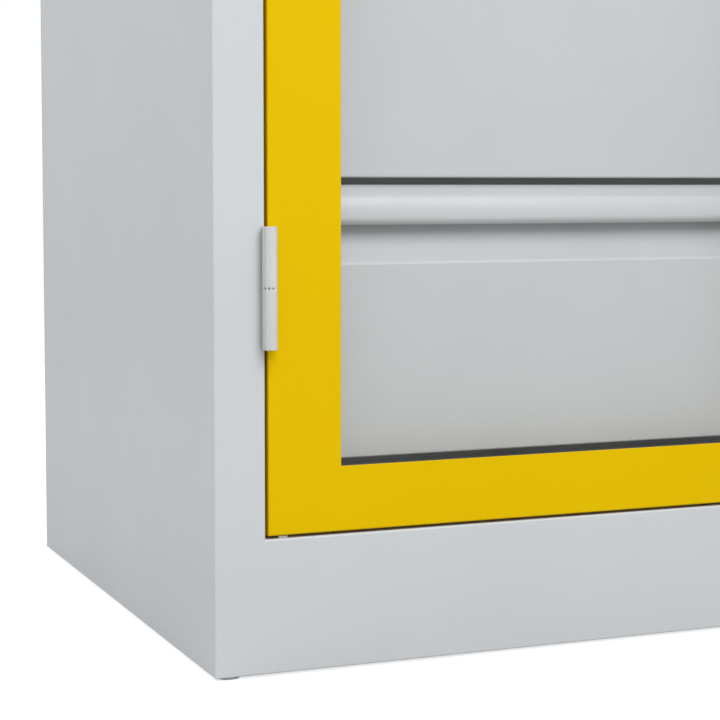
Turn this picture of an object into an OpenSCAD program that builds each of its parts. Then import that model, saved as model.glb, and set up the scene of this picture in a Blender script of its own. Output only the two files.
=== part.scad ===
// Reagent drawer cabinet: a double-walled sheet-steel body with an inset glazed
// door on barrel hinges and a three-point lock, over three drawers on telescopic
// runners. +Z is up, the door faces -Y, and the origin is the middle of the
// overall box on the floor. Millimetres.

/* [Body] */
// Width over the side panels
body_w = 600; // [580:10:700]
// Depth from the front face to the back panel
body_d = 550; // [540:10:640]
// Height from the floor to the top
body_h = 900; // [840:10:1000]
// Thickness of every steel sheet
sheet = 1.2; // [1:0.1:1.4]
// Width of the front stiles
stile_w = 39.3; // [36:0.1:48]
// Height of the plinth rail
plinth_h = 100.8; // [92:0.1:120]
// Height of the rail above the door
top_rail_h = 40; // [34:1:60]
// Width of the inward flanges that the panels are joined by
flange_w = 15; // [12:1:18]
// Lip behind the door that its buffers sit on
stop_lip = 14.7; // [13:0.1:17]
// Space between the door's back and that lip
stop_gap = 2.8; // [2.4:0.1:4]

/* [Feet] */
// Height of the body above the floor
foot_rise = 2; // [1:0.5:4]
// Radius of a foot's disc
foot_r = 10; // [9:0.5:11]
// Thickness of a foot's disc
foot_disc_h = 5; // [4.5:0.5:8]
// Radius of a foot's threaded stem
foot_stem_r = 4; // [3:0.5:5]
// Length of the stem above the disc
foot_stem_h = 55; // [40:1:75]
// Centre of a foot from the side of the body
foot_side = 13; // [12.5:0.5:16]
// Gap between a foot's disc and the sheets in front of and behind it
foot_gap = 0.3; // [0.2:0.1:4]
// Side of the square plate that a foot screws into
foot_plate_w = 40; // [34:1:44]
// Thickness of that plate
foot_plate_t = 3; // [2:0.5:5]
// Height of the plate above the body's lower edge
foot_plate_rise = 14; // [10:1:20]
// Radius of the locking nut, over its corners
nut_r = 7.5; // [6.5:0.1:8]
// Thickness of the locking nut
nut_h = 6.5; // [4:0.5:8]

/* [Inner carcass] */
// From the stile's edge to the drawer bay's side wall
bay_side = 72.7; // [72:0.1:80]
// From the plinth's top to the drawer bay's floor
bay_floor_rise = 43.4; // [36:0.1:60]
// From the top rail's lower edge to the drawer bay's ceiling
bay_top_drop = 54; // [40:1:70]
// Depth of the carcass's face behind the cabinet's front
bay_face_p = 52; // [51:0.5:60]
// Depth of the cross rails behind the gaps between the drawers
cross_rail_d = 14; // [8:1:20]
// How far a cross rail reaches below the middle of its gap
cross_rail_down = 14; // [8:1:20]
// Gap between the cross rails and the drawers
cross_rail_gap = 1.5; // [1:0.1:2]

/* [Door] */
// Thickness of the door
door_t = 20; // [19:0.5:20.5]
// Gap round the door
door_gap = 2.3; // [2:0.1:3]
// Width of the door's stiles beside the window
door_stile = 57.8; // [57.6:0.1:64]
// Height of the door's rails above and below the window
door_rail = 49.2; // [44:0.1:60]
// How far the inner frame's window is cut back behind the front sheet
inner_cut = 5; // [4.5:0.1:6]
// Thickness of the clear pane
pane_t = 4; // [3:0.5:5]
// How far the pane reaches behind the front sheet
pane_lap = 8; // [7:0.1:8.5]
// Thickness of the gasket in front of the pane
gasket_front = 0.5; // [0.4:0.1:1]
// Thickness of the gasket behind the pane
gasket_back = 1.1; // [0.8:0.1:2]
// Thickness of the gasket round the pane's edge
gasket_edge = 1.5; // [1:0.1:1.6]
// How far the gasket's lips reach over the pane
gasket_lip = 4; // [3.5:0.1:4.5]
// Radius of a rubber buffer
buffer_r = 5; // [4:0.5:6]
// Gap between a buffer and the door's back
buffer_gap = 0.3; // [0.2:0.1:0.5]
// Width of the glide pad under the door
glide_w = 7; // [5:0.5:10]
// Height of the glide pad
glide_h = 1.7; // [1:0.1:1.8]

/* [Hinges] */
// Radius of the hinge barrel
hinge_r = 5.7; // [5:0.1:5.7]
// Distance of the hinge axis in front of the cabinet's face
hinge_out = 6; // [6:0.1:6.5]
// Distance of the hinge axis from the stile's edge
hinge_over = 1.7; // [1.5:0.1:2]
// Length of a whole hinge
hinge_len = 90; // [70:1:110]
// Height of the lower hinge's middle above the door's lower edge
hinge_rise = 183.7; // [140:0.1:220]
// Radius of the hinge pin
pin_r = 3; // [2.5:0.1:3.4]
// Length of the hinge pin
pin_len = 66; // [50:1:68]
// Space between the two halves of a hinge
knuckle_gap = 0.4; // [0.3:0.1:0.8]
// Radius of the shallow flutes down a barrel
flute_r = 0.5; // [0.3:0.1:0.6]
// Thickness of the pad that joins a barrel to its panel
hinge_pad_w = 3.2; // [3:0.1:5]

/* [Handle and lock] */
// Distance of the handle's axis from the door's closing edge
handle_inset = 27.4; // [27.2:0.1:27.8]
// Width of the back plate
plate_w = 34; // [32:1:38]
// Height of the back plate above the handle's axis
plate_up = 32; // [28:1:40]
// Height of the back plate below the handle's axis
plate_down = 78; // [72:1:90]
// Thickness of the back plate
plate_t = 3; // [2:0.5:4]
// Radius of the knob's round base
knob_r = 15; // [14:0.5:16]
// Height of that base
knob_base_h = 9; // [7:0.5:12]
// Length of the knob's wing
wing_len = 46; // [40:1:54]
// Thickness of the wing
wing_t = 12; // [10:0.5:14]
// How far the knob stands out of the door
handle_reach = 34; // [30:1:44]
// Radius of the spindle
spindle_r = 5; // [4:0.1:5.5]
// Clearance of the spindle in the door's front sheet
spindle_clear = 1; // [0.5:0.1:1.5]
// Height of the lock below the handle's axis
lock_drop = 52; // [50:1:56]
// Radius of the turning lock core
core_r = 6; // [5:0.1:6.5]
// Wall of the lock barrel
barrel_wall = 2; // [1.5:0.1:2.5]
// How far the lock barrel stands out of the back plate
barrel_out = 2; // [1:0.5:4]
// Width of the key slot
key_slot = 1.6; // [1.2:0.1:2]
// Depth of the key slot
key_depth = 15; // [10:1:17]
// How far the lock barrel reaches behind the door's face
barrel_depth = 15; // [14:0.1:15]
// Length of the lock's cam from the core's axis
cam_len = 8.5; // [7.5:0.1:8.8]
// Width of the cam
cam_w = 8; // [6:0.5:10]

/* [Lock rods] */
// Tooth module of the rack and pinion
gear_module = 1; // [0.9:0.05:1]
// Radius of a lock rod
rod_r = 4; // [3.5:0.1:4]
// Thickness of the racks
rack_t = 5; // [4:0.5:6]
// Thickness of the pinion
pinion_t = 6; // [5:0.5:7]
// Depth of the rods' axis behind the door's face
rod_p = 11; // [10.5:0.1:11.5]
// Radial clearance of a rod in its guides
rod_clear = 0.15; // [0.1:0.01:0.3]
// Wall of the lock case
case_wall = 1.5; // [1:0.1:1.8]
// Width of the lock case
case_w = 41; // [40:0.5:41]
// Height of the lock case
case_h = 64; // [60:1:70]
// Height of a rod guide
guide_h = 12; // [8:1:20]
// Wall of a rod guide beside the rod
guide_wall = 2; // [1.5:0.1:2.2]
// Distance of a rod guide from its end of the door
guide_end = 30; // [20:1:60]
// Radius of the keeper holes in the frame
keeper_r = 5.5; // [5:0.1:6]

/* [Drawers] */
// Gap above and below each drawer front
drawer_gap = 5.5; // [4:0.1:8]
// Gap at each end of a drawer front
front_gap = 2.5; // [2:0.1:4]
// Depth of the folded drawer front
front_t = 18; // [16:0.5:20]
// Height of the rounded nose of the grip
nose_h = 25.2; // [22:0.1:30]
// How far the nose stands in front of the panel
nose_out = 2; // [1:0.1:3]
// Degrees that the nose leans back at its top
nose_lean = 35; // [25:1:45]
// Radius of the nose's upper edge
nose_edge_r = 1.6; // [1.5:0.1:2.5]
// Height of the grip's turned-in lip
lip_h = 6.1; // [5:0.1:8]
// Depth of the grip's turned-in lip
lip_in = 5; // [4:0.1:6]
// Height of the sloping recess under the lip
recess_h = 30.5; // [27:0.1:36]
// Width of the folded edges behind a drawer front
rear_lip = 25; // [22:1:32]
// Height of the upturned edge under a drawer front
foot_lip = 12; // [10:1:16]
// Depth of the tray
tray_d = 430; // [380:5:440]
// Height of the tray's walls
tray_h = 125; // [110:1:135]
// Height of the tray's floor above the front's lower edge
tray_rise = 8; // [6:0.5:12]
// Height of a front's lower screws above its upturned edge
front_screw_low = 12; // [8:1:20]
// Distance of a front's upper screws below the tray's rim
front_screw_high = 20; // [12:1:30]

/* [Runners] */
// Height of a runner
rail_h = 45; // [40:1:50]
// Thickness of a closed runner
rail_t = 12.7; // [12:0.1:13.5]
// Sheet thickness of a runner
rail_sheet = 1.3; // [1.1:0.1:1.5]
// Running gap between two members of a runner
run_gap = 0.3; // [0.25:0.05:0.5]
// How far a runner starts behind the drawer's front
rail_set = 2; // [1:0.5:5]
// Height of a runner's middle above the tray's floor
rail_rise = 40; // [34:1:60]
// Distance of a runner's front screw from its front end
rail_screw_front = 40; // [20:1:80]
// Distance of a runner's rear screw from its rear end
rail_screw_back = 60; // [20:1:80]

/* [Fasteners and fixings] */
// Radius of a screw's head
head_r = 3.5; // [3:0.1:4]
// Height of a screw's head
head_h = 1.6; // [1:0.1:2.4]
// Radius of a screw's shank
shank_r = 2; // [1.5:0.1:2.5]
// Distance of the back panel's end screws from the body's top and bottom
back_screw_end = 60; // [40:1:100]
// Radius of the wall-fixing holes in the back panel
wall_hole_r = 4.5; // [3:0.1:6]
// Distance between the wall-fixing holes across the back
wall_hole_x = 300; // [200:10:320]
// Distance between the wall-fixing holes up the back
wall_hole_z = 500; // [300:10:560]
// Height of the lower wall-fixing holes above the drawer bay's floor
wall_hole_rise = 80; // [60:1:120]

/* [Hidden] */
$fn = 48;
fit = 0.05;          // radial running clearance of a shaft
cut = 1;             // overshoot of a cut past a face
grey = [0.76, 0.78, 0.79];
pale = [0.80, 0.81, 0.82];
yellow = [0.88, 0.74, 0.05];
zinc = [0.62, 0.63, 0.64];
black = [0.12, 0.12, 0.13];
clear = [0.8, 0.9, 0.92, 0.35];

// Heights
top_z = body_h - sheet;
plinth_z = foot_rise + plinth_h;
rail_z = body_h - top_rail_h;
door_z0 = plinth_z + door_gap;
door_z1 = rail_z - door_gap;
window_z0 = door_z0 + door_rail;
window_z1 = door_z1 - door_rail;
bay_z0 = plinth_z + bay_floor_rise;
bay_z1 = rail_z - bay_top_drop;
floor_z = plinth_z - 2 * sheet;

// Distances across, from the left side; "w" runs over the width
open_w0 = stile_w;
open_w1 = body_w - stile_w;
door_w0 = open_w0 + door_gap;
door_w1 = open_w1 - door_gap;
window_w0 = door_w0 + door_stile;
window_w1 = door_w1 - door_stile;
bay_w0 = stile_w + bay_side;
bay_w1 = body_w - bay_w0;

// Depths, from the front face; "p" runs backwards
front_y = -(body_d + head_h - handle_reach) / 2;
back_p = body_d - sheet;
stop_p = door_t + stop_gap;
liner_p = stop_p + sheet;
rear_flange_p = back_p - sheet;

// Drawers
drawer_count = 3;
front_h = (bay_z1 - bay_z0 - (drawer_count + 1) * drawer_gap) / drawer_count;
front_w0 = bay_w0 + front_gap;
front_w1 = bay_w1 - front_gap;
front_back_p = bay_face_p + front_t;
recess_z = front_h - nose_h - lip_h - recess_h;
tray_w0 = bay_w0 + rail_t;
tray_w1 = bay_w1 - rail_t;
rail_p = front_back_p + rail_set;
rail_len = tray_d - rail_set;
drawer_pitch = front_h + drawer_gap;
rail_screw_p = [rail_p + rail_screw_front, rail_p + rail_len - rail_screw_back];
front_screw_w = (tray_w0 + front_w0 + rear_lip) / 2;
front_screw_z = [foot_lip + front_screw_low, tray_rise + tray_h - front_screw_high];

// Handle, lock and rods
handle_w = door_w1 - handle_inset;
handle_z = (door_z0 + door_z1) / 2;
lock_z = handle_z - lock_drop;
teeth = 18;
pressure = 20;
backlash = 0.1;
pitch_r = gear_module * teeth / 2;
rack_root = pitch_r + 1.25 * gear_module;
rod_x = rack_root + rod_r;
rod_travel = pitch_r * PI / 2;
rod_tip_gap = 0.5;
rod_len = (door_z1 - door_z0) / 2 - rod_tip_gap;
rack_ahead = 9 * gear_module;
case_p0 = sheet;
case_p1 = door_t - sheet;
barrel_r = core_r + fit + barrel_wall;

// ---- Shared shapes ----

// A block given by its reach across, backwards and upwards
module block(w, p, z) {
    translate([w[0] - body_w / 2, front_y + p[0], z[0]])
        cube([w[1] - w[0], p[1] - p[0], z[1] - z[0]]);
}

// A rectangular ring standing across the cabinet, seen from the front
module ring(w, p, z, band) {
    difference() {
        block(w, p, z);
        block([w[0] + band, w[1] - band], [p[0] - cut, p[1] + cut],
              [z[0] + band, z[1] - band]);
    }
}

// Moves its children to a place given as across, backwards and upwards
module at(w, p, z) {
    translate([w - body_w / 2, front_y + p, z]) children();
}

// Its children and their mirror image across the cabinet
module both_sides() {
    children();
    mirror([1, 0, 0]) children();
}

// A rod along the depth, from p[0] to p[1], round (w, z)
module rod_y(r, w, p, z) {
    at(w, p[0], z) rotate([-90, 0, 0]) cylinder(r = r, h = p[1] - p[0]);
}

// An outline of depth and height points, carried across from w[0] to w[1]
module across(w, points) {
    at(w[0], 0, 0) rotate([90, 0, 90]) linear_extrude(w[1] - w[0]) polygon(points);
}

// Points of an arc in the plane
function arc(c, r, a0, a1, n) =
    [for (i = [0:n]) c + r * [cos(a0 + (a1 - a0) * i / n), sin(a0 + (a1 - a0) * i / n)]];

// Height of a drawer's lower edge
function drawer_z(n) = bay_z0 + drawer_gap + (n - 1) * drawer_pitch;

// ---- Body ----

// Holes that the upper and lower rods lock into
module keeper_holes() {
    at(handle_w + rod_x, rod_p, rail_z - cut) cylinder(r = keeper_r, h = sheet + 2 * cut);
    at(handle_w - rod_x, rod_p, plinth_z - sheet - cut)
        cylinder(r = keeper_r, h = sheet + 2 * cut);
}

module front_frame() {
    color(grey) difference() {
        union() {
            difference() {
                block([0, body_w], [0, sheet], [foot_rise, top_z]);
                block([open_w0, open_w1], [-cut, sheet + cut], [plinth_z, rail_z]);
            }
            ring([open_w0 - sheet, open_w1 + sheet], [0, stop_p + sheet],
                 [plinth_z - sheet, rail_z + sheet], sheet);
            ring([open_w0 - sheet, open_w1 + sheet], [stop_p, stop_p + sheet],
                 [plinth_z - sheet, rail_z + sheet], sheet + stop_lip);
            block([foot_plate_w + 2 * sheet, body_w - foot_plate_w - 2 * sheet],
                  [0, flange_w], [foot_rise, foot_rise + sheet]);
        }
        keeper_holes();
    }
}

// Screw places down the back, as heights
function back_screw_z() =
    [for (i = [0:3]) back_screw_end + (top_z - 2 * back_screw_end) * i / 3];

module side_panel() {
    difference() {
        union() {
            block([0, sheet], [sheet, back_p], [foot_rise, top_z]);
            block([0, flange_w], [sheet, back_p], [top_z - sheet, top_z]);
            block([0, flange_w], [rear_flange_p, back_p], [foot_rise, top_z]);
            block([0, flange_w], [foot_plate_w + 2 * sheet, back_p - foot_plate_w - 2 * sheet],
                  [foot_rise, foot_rise + sheet]);
        }
        back_screw_holes();
    }
}

module left_side_panel() {
    color(grey) side_panel();
}

module right_side_panel() {
    color(grey) mirror([1, 0, 0]) side_panel();
}

module top_panel() {
    color(grey) block([0, body_w], [0, body_d], [top_z, body_h]);
}

module bottom_panel() {
    color(grey) block([sheet, body_w - sheet], [rod_p + keeper_r + sheet, rear_flange_p],
                      [floor_z, floor_z + sheet]);
}

// Clearance holes for the back panel's screws, on the left side
module back_screw_holes() {
    for (z = back_screw_z())
        rod_y(shank_r + fit, flange_w / 2, [rear_flange_p - cut, body_d + cut], z);
}

module back_panel() {
    color(grey) difference() {
        block([0, body_w], [back_p, body_d], [foot_rise, top_z]);
        both_sides() back_screw_holes();
        for (x = [-wall_hole_x / 2, wall_hole_x / 2], z = [0, wall_hole_z])
            rod_y(wall_hole_r, body_w / 2 + x, [back_p - cut, body_d + cut],
                  bay_z0 + wall_hole_rise + z);
    }
}

module back_screws() {
    color(zinc) both_sides() for (z = back_screw_z()) {
        rod_y(shank_r, flange_w / 2, [rear_flange_p, body_d], z);
        rod_y(head_r, flange_w / 2, [body_d, body_d + head_h], z);
    }
}

// Its children at the front and back feet of both sides
module at_feet() {
    both_sides() for (p = [sheet + foot_gap + foot_r, rear_flange_p - foot_gap - foot_r])
        at(foot_side, p, 0) children();
}

plate_z = foot_rise + foot_plate_rise;

module foot_plates() {
    color(grey) difference() {
        both_sides() for (p = [sheet, rear_flange_p - foot_plate_w])
            block([sheet, sheet + foot_plate_w], [p, p + foot_plate_w],
                  [plate_z, plate_z + foot_plate_t]);
        at_feet() translate([0, 0, plate_z - cut])
            cylinder(r = foot_stem_r + fit, h = foot_plate_t + 2 * cut);
    }
}

module foot_nuts() {
    color(zinc) at_feet() translate([0, 0, plate_z + foot_plate_t]) difference() {
        cylinder(r = nut_r, h = nut_h, $fn = 6);
        translate([0, 0, -cut]) cylinder(r = foot_stem_r + fit, h = nut_h + 2 * cut);
    }
}

module levelling_feet() {
    color(pale) at_feet() {
        cylinder(r = foot_r, h = foot_disc_h);
        cylinder(r = foot_stem_r, h = foot_disc_h + foot_stem_h);
    }
}

// ---- Drawer bay inside the body ----

lip_w = open_w0 + stop_lip;
lip_z0 = plinth_z + stop_lip;
lip_z1 = rail_z - stop_lip;

module bay_wall() {
    z = [lip_z0, lip_z1];
    block([open_w0 + sheet, lip_w], [liner_p, liner_p + sheet], z);
    block([lip_w - sheet, lip_w], [liner_p, bay_face_p + sheet], z);
    block([lip_w - sheet, bay_w0], [bay_face_p, bay_face_p + sheet], z);
    block([bay_w0 - sheet, bay_w0], [bay_face_p, back_p], z);
    block([bay_w0 - flange_w, bay_w0], [rear_flange_p, back_p], z);
}

module bay_left_wall() {
    color(grey) bay_wall();
}

module bay_right_wall() {
    color(grey) mirror([1, 0, 0]) bay_wall();
}

// A floor or ceiling: z0 is the edge of the stop lip, z1 the face seen by the drawers
module bay_deck(z0, z1) {
    s = sign(z1 - z0);
    w = [lip_w - sheet, body_w - lip_w + sheet];
    function span(a, b) = [min(a, b), max(a, b)];
    block(w, [liner_p, liner_p + sheet], span(z0, z0 - s * (stop_lip - sheet)));
    block(w, [liner_p, bay_face_p], span(z0 - s * sheet, z0));
    block([bay_w0, bay_w1], [bay_face_p, bay_face_p + sheet], span(z0 - s * sheet, z1));
    block([bay_w0, bay_w1], [liner_p, bay_face_p + sheet], span(z0 - s * sheet, z0));
    block([bay_w0, bay_w1], [bay_face_p, back_p], span(z1 - s * sheet, z1));
}

module bay_floor() {
    color(grey) bay_deck(lip_z0, bay_z0);
}

module bay_ceiling() {
    color(grey) bay_deck(lip_z1, bay_z1);
}

// Angle-section rails between the bay's walls, behind the gaps above and below the drawers
module bay_cross_rails() {
    p = front_back_p + cross_rail_gap;
    color(grey) for (n = [1:drawer_count + 1]) {
        low = n == 1 ? bay_z0 : drawer_z(n) - drawer_gap / 2 - cross_rail_down;
        high = n > drawer_count ? bay_z1 : drawer_z(n) + tray_rise - cross_rail_gap;
        block([bay_w0, bay_w1], [p, p + sheet], [low, high]);
        block([bay_w0, bay_w1], [p, p + cross_rail_d], [low, low + sheet]);
    }
}

// Rubber buffers on the stop lip, at the door's four corners
module door_buffers() {
    color(black) both_sides()
        for (z = [lip_z0 + 4 * buffer_r, lip_z1 - 4 * buffer_r])
            rod_y(buffer_r, open_w0 + buffer_r + 2 * sheet,
                  [door_t + buffer_gap, stop_p], z);
}

// The pad that the door runs up on as it closes
module door_glide() {
    w = lip_w - glide_w / 2;
    color(pale) block([w, w + glide_w], [2 * sheet, door_t - 3 * sheet],
                      [plinth_z, plinth_z + glide_h]);
}

// ---- Hinges ----

hinge_w = stile_w + hinge_over;
hinge_low_z = door_z0 + hinge_rise;
hinge_high_z = door_z1 - hinge_rise;
flutes = 10;
flute_turn = -8;

// One fluted half of a hinge, from z[0] to z[1], bored for the pin over pin_z, with
// a pad that joins it to its panel
module knuckle(z, pin_z, pad) {
    difference() {
        union() {
            at(hinge_w, -hinge_out, z[0]) difference() {
                cylinder(r = hinge_r, h = z[1] - z[0]);
                for (i = [0:flutes - 1]) rotate([0, 0, flute_turn + i * 360 / flutes])
                    translate([hinge_r, 0, -cut])
                        cylinder(r = flute_r, h = z[1] - z[0] + 2 * cut);
            }
            block(pad, [-hinge_out, 0], z);
        }
        at(hinge_w, -hinge_out, pin_z[0]) cylinder(r = pin_r + fit, h = pin_z[1] - pin_z[0]);
    }
}

module frame_hinge_halves() {
    color(pale) for (z = [hinge_low_z, hinge_high_z])
        knuckle([z - hinge_len / 2, z - knuckle_gap / 2], [z - pin_len / 2, z + cut],
                [hinge_w - hinge_pad_w - hinge_over / 2, open_w0]);
}

module door_hinge_halves() {
    color(pale) for (z = [hinge_low_z, hinge_high_z])
        knuckle([z + knuckle_gap / 2, z + hinge_len / 2], [z - cut, z + pin_len / 2 + fit],
                [door_w0, hinge_w + hinge_pad_w]);
}

module hinge_pins() {
    color(zinc) for (z = [hinge_low_z, hinge_high_z])
        at(hinge_w, -hinge_out, z - pin_len / 2) cylinder(r = pin_r, h = pin_len);
}

// ---- Door ----

module door_pan() {
    color(yellow) difference() {
        union() {
            block([door_w0, door_w1], [0, sheet], [door_z0, door_z1]);
            ring([door_w0, door_w1], [0, door_t - sheet], [door_z0, door_z1], sheet);
        }
        block([window_w0, window_w1], [-cut, sheet + cut], [window_z0, window_z1]);
        rod_y(spindle_r + spindle_clear, handle_w, [-cut, sheet + cut], handle_z);
        rod_y(barrel_r + fit, handle_w, [-cut, sheet + cut], lock_z);
        plate_screw_holes();
        at(handle_w + rod_x, rod_p, door_z1 - sheet - cut)
            cylinder(r = rod_r + rod_clear, h = sheet + 2 * cut);
        at(handle_w - rod_x, rod_p, door_z0 - cut)
            cylinder(r = rod_r + rod_clear, h = sheet + 2 * cut);
    }
}

gasket_p0 = sheet;
pane_p0 = gasket_p0 + gasket_front;
pane_p1 = pane_p0 + pane_t;
gasket_p1 = pane_p1 + gasket_back;
cut_w0 = window_w0 - inner_cut;
cut_w1 = window_w1 + inner_cut;
cut_z0 = window_z0 - inner_cut;
cut_z1 = window_z1 + inner_cut;

module door_inner_frame() {
    color(yellow) {
        difference() {
            block([door_w0, door_w1], [door_t - sheet, door_t], [door_z0, door_z1]);
            block([cut_w0, cut_w1], [door_t - sheet - cut, door_t + cut], [cut_z0, cut_z1]);
            rod_y(spindle_r + fit, handle_w, [door_t - sheet - cut, door_t + cut], handle_z);
        }
        ring([cut_w0 - sheet, cut_w1 + sheet], [gasket_p1, door_t],
             [cut_z0 - sheet, cut_z1 + sheet], sheet);
    }
}

module pane_block() {
    block([window_w0 - pane_lap, window_w1 + pane_lap], [pane_p0, pane_p1],
          [window_z0 - pane_lap, window_z1 + pane_lap]);
}

module window_pane() {
    color(clear) pane_block();
}

module pane_gasket() {
    reach = pane_lap + gasket_edge;
    color(black) difference() {
        ring([window_w0 - reach, window_w1 + reach], [gasket_p0, gasket_p1],
             [window_z0 - reach, window_z1 + reach], gasket_edge + gasket_lip);
        pane_block();
    }
}

// ---- Handle, lock and rods ----

plate_screw_z = [handle_z + plate_up - 2 * head_r, handle_z - plate_down + 2 * head_r];

module plate_screw_holes() {
    for (z = plate_screw_z)
        rod_y(shank_r + fit, handle_w, [-plate_t - cut, sheet + cut], z);
}

module handle_plate() {
    r = plate_w / 2;
    color(black) difference() {
        union() {
            block([handle_w - r, handle_w + r], [-plate_t, 0],
                  [handle_z - plate_down + r, handle_z + plate_up - r]);
            rod_y(r, handle_w, [-plate_t, 0], handle_z + plate_up - r);
            rod_y(r, handle_w, [-plate_t, 0], handle_z - plate_down + r);
        }
        rod_y(spindle_r + fit, handle_w, [-plate_t - cut, cut], handle_z);
        rod_y(barrel_r + fit, handle_w, [-plate_t - cut, cut], lock_z);
        plate_screw_holes();
    }
}

module handle_plate_screws() {
    color(zinc) for (z = plate_screw_z) {
        rod_y(shank_r, handle_w, [-plate_t, sheet], z);
        rod_y(head_r, handle_w, [-plate_t - head_h, -plate_t], z);
    }
}

module lock_case() {
    w = [handle_w - case_w / 2, handle_w + case_w / 2];
    z = [handle_z - case_h / 2, handle_z + case_h / 2];
    color(zinc) difference() {
        block(w, [case_p0, case_p1], z);
        block([w[0] + case_wall, w[1] - case_wall], [case_p0 + case_wall, case_p1 - case_wall],
              [z[0] + case_wall, z[1] - case_wall]);
        rod_y(spindle_r + fit, handle_w, [case_p0 - cut, case_p1 + cut], handle_z);
        for (z = plate_screw_z) rod_y(shank_r + fit, handle_w, [0, case_p0 + 2 * cut], z);
        at(handle_w + rod_x, rod_p, handle_z)
            cylinder(r = rod_r + rod_clear, h = case_h);
        at(handle_w - rod_x, rod_p, handle_z - case_h)
            cylinder(r = rod_r + rod_clear, h = case_h);
    }
}

// One guide block on a rod at x from the handle's axis
module rod_guide(x, z) {
    reach = rod_r + guide_wall;
    difference() {
        block([handle_w + x - reach, handle_w + x + reach], [rod_p - reach, door_t - sheet],
              [z, z + guide_h]);
        at(handle_w + x, rod_p, z - cut) cylinder(r = rod_r + rod_clear, h = guide_h + 2 * cut);
    }
}

module rod_guides() {
    color(black) {
        rod_guide(rod_x, door_z1 - guide_end - guide_h);
        rod_guide(-rod_x, door_z0 + guide_end);
    }
}

module lock_barrel() {
    color(zinc) difference() {
        rod_y(barrel_r, handle_w, [-plate_t - barrel_out, barrel_depth], lock_z);
        rod_y(core_r + fit, handle_w, [-plate_t - barrel_out - cut, barrel_depth + cut], lock_z);
    }
}

module lock_core() {
    face = -plate_t - barrel_out;
    color(zinc) difference() {
        rod_y(core_r, handle_w, [face, barrel_depth + run_gap], lock_z);
        block([handle_w - key_slot / 2, handle_w + key_slot / 2], [face - cut, face + key_depth],
              [lock_z - core_r / 2, lock_z + core_r / 2]);
    }
}

module lock_cam() {
    p = [barrel_depth + run_gap, barrel_depth + run_gap + 2 * sheet];
    color(zinc) {
        rod_y(cam_w / 2, handle_w, p, lock_z);
        block([handle_w - cam_w / 2, handle_w + cam_w / 2], p, [lock_z, lock_z + cam_len]);
    }
}

module handle_knob() {
    base = [-plate_t - run_gap - knob_base_h, -plate_t - run_gap];
    w = [handle_w - wing_t / 2, handle_w + wing_t / 2];
    r = wing_t / 2;
    reach = wing_len / 2 - r;
    color(black) {
        rod_y(knob_r, handle_w, base, handle_z);
        block(w, [-handle_reach, base[0] + cut], [handle_z - reach, handle_z + reach]);
        for (s = [-1, 1])
            rod_y(r, handle_w, [-handle_reach, base[0] + cut], handle_z + s * reach);
    }
}

// The spindle's square end in the knob is left round: the two are pinned together
module handle_spindle() {
    color(zinc) rod_y(spindle_r, handle_w, [-plate_t - run_gap, door_t - run_gap], handle_z);
}

// Half the angle of a pinion tooth at radius r
function tooth_half(r) =
    let (a = acos(min(1, pitch_r * cos(pressure) / r)))
    (90 / teeth) - backlash / pitch_r * 180 / PI / 2
    + (tan(pressure) - tan(a)) * 180 / PI - pressure + a;

// Outline of the pinion, with involute flanks
function pinion_points() =
    let (base_r = pitch_r * cos(pressure),
         tip_r = pitch_r + gear_module,
         root_r = pitch_r - 1.25 * gear_module,
         flank = [for (i = [0:4]) base_r + (tip_r - base_r) * i / 4])
    [for (k = [0:teeth - 1])
        let (mid = k * 360 / teeth)
        each concat(
            [root_r * [cos(mid - tooth_half(base_r)), sin(mid - tooth_half(base_r))]],
            [for (r = flank) r * [cos(mid - tooth_half(r)), sin(mid - tooth_half(r))]],
            [for (i = [4:-1:0])
                flank[i] * [cos(mid + tooth_half(flank[i])), sin(mid + tooth_half(flank[i]))]],
            [root_r * [cos(mid + tooth_half(base_r)), sin(mid + tooth_half(base_r))]])];

module lock_pinion() {
    color(zinc) difference() {
        at(handle_w, rod_p + pinion_t / 2, handle_z)
            rotate([90, 0, 0]) linear_extrude(pinion_t) polygon(pinion_points());
        rod_y(spindle_r + fit / 2, handle_w, [rod_p - pinion_t, rod_p + pinion_t], handle_z);
    }
}

// Outline of the rack on the right of the pinion, from its lowest tooth up
function rack_points(z0, count) =
    let (pitch = PI * gear_module,
         half = pitch / 4 - backlash,
         tip = half - gear_module * tan(pressure),
         root = half + 1.25 * gear_module * tan(pressure),
         tip_x = pitch_r - gear_module)
    concat(
        [for (k = [0:count - 1])
            let (z = z0 + (k + 0.5) * pitch)
            each [[rack_root, z - root], [tip_x, z - tip], [tip_x, z + tip],
                  [rack_root, z + root]]],
        [[rod_x, z0 + (count - 0.5) * pitch + root], [rod_x, z0 + pitch / 2 - root]]);

// A rod that runs up, with its rack beside the pinion; the lower one is this one turned over
module rod_and_rack() {
    pitch = PI * gear_module;
    below = ceil((rod_travel + rack_ahead) / pitch);
    above = ceil(rack_ahead / pitch);
    start = -below * pitch;
    translate([rod_x, 0, start]) cylinder(r = rod_r, h = rod_len - start);
    translate([0, rack_t / 2, 0]) rotate([90, 0, 0]) linear_extrude(rack_t)
        polygon(rack_points(start, below + above));
}

module upper_rod() {
    color(zinc) at(handle_w, rod_p, handle_z) rod_and_rack();
}

module lower_rod() {
    color(zinc) at(handle_w, rod_p, handle_z) rotate([0, 180, 0]) rod_and_rack();
}

// ---- Drawers ----

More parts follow.
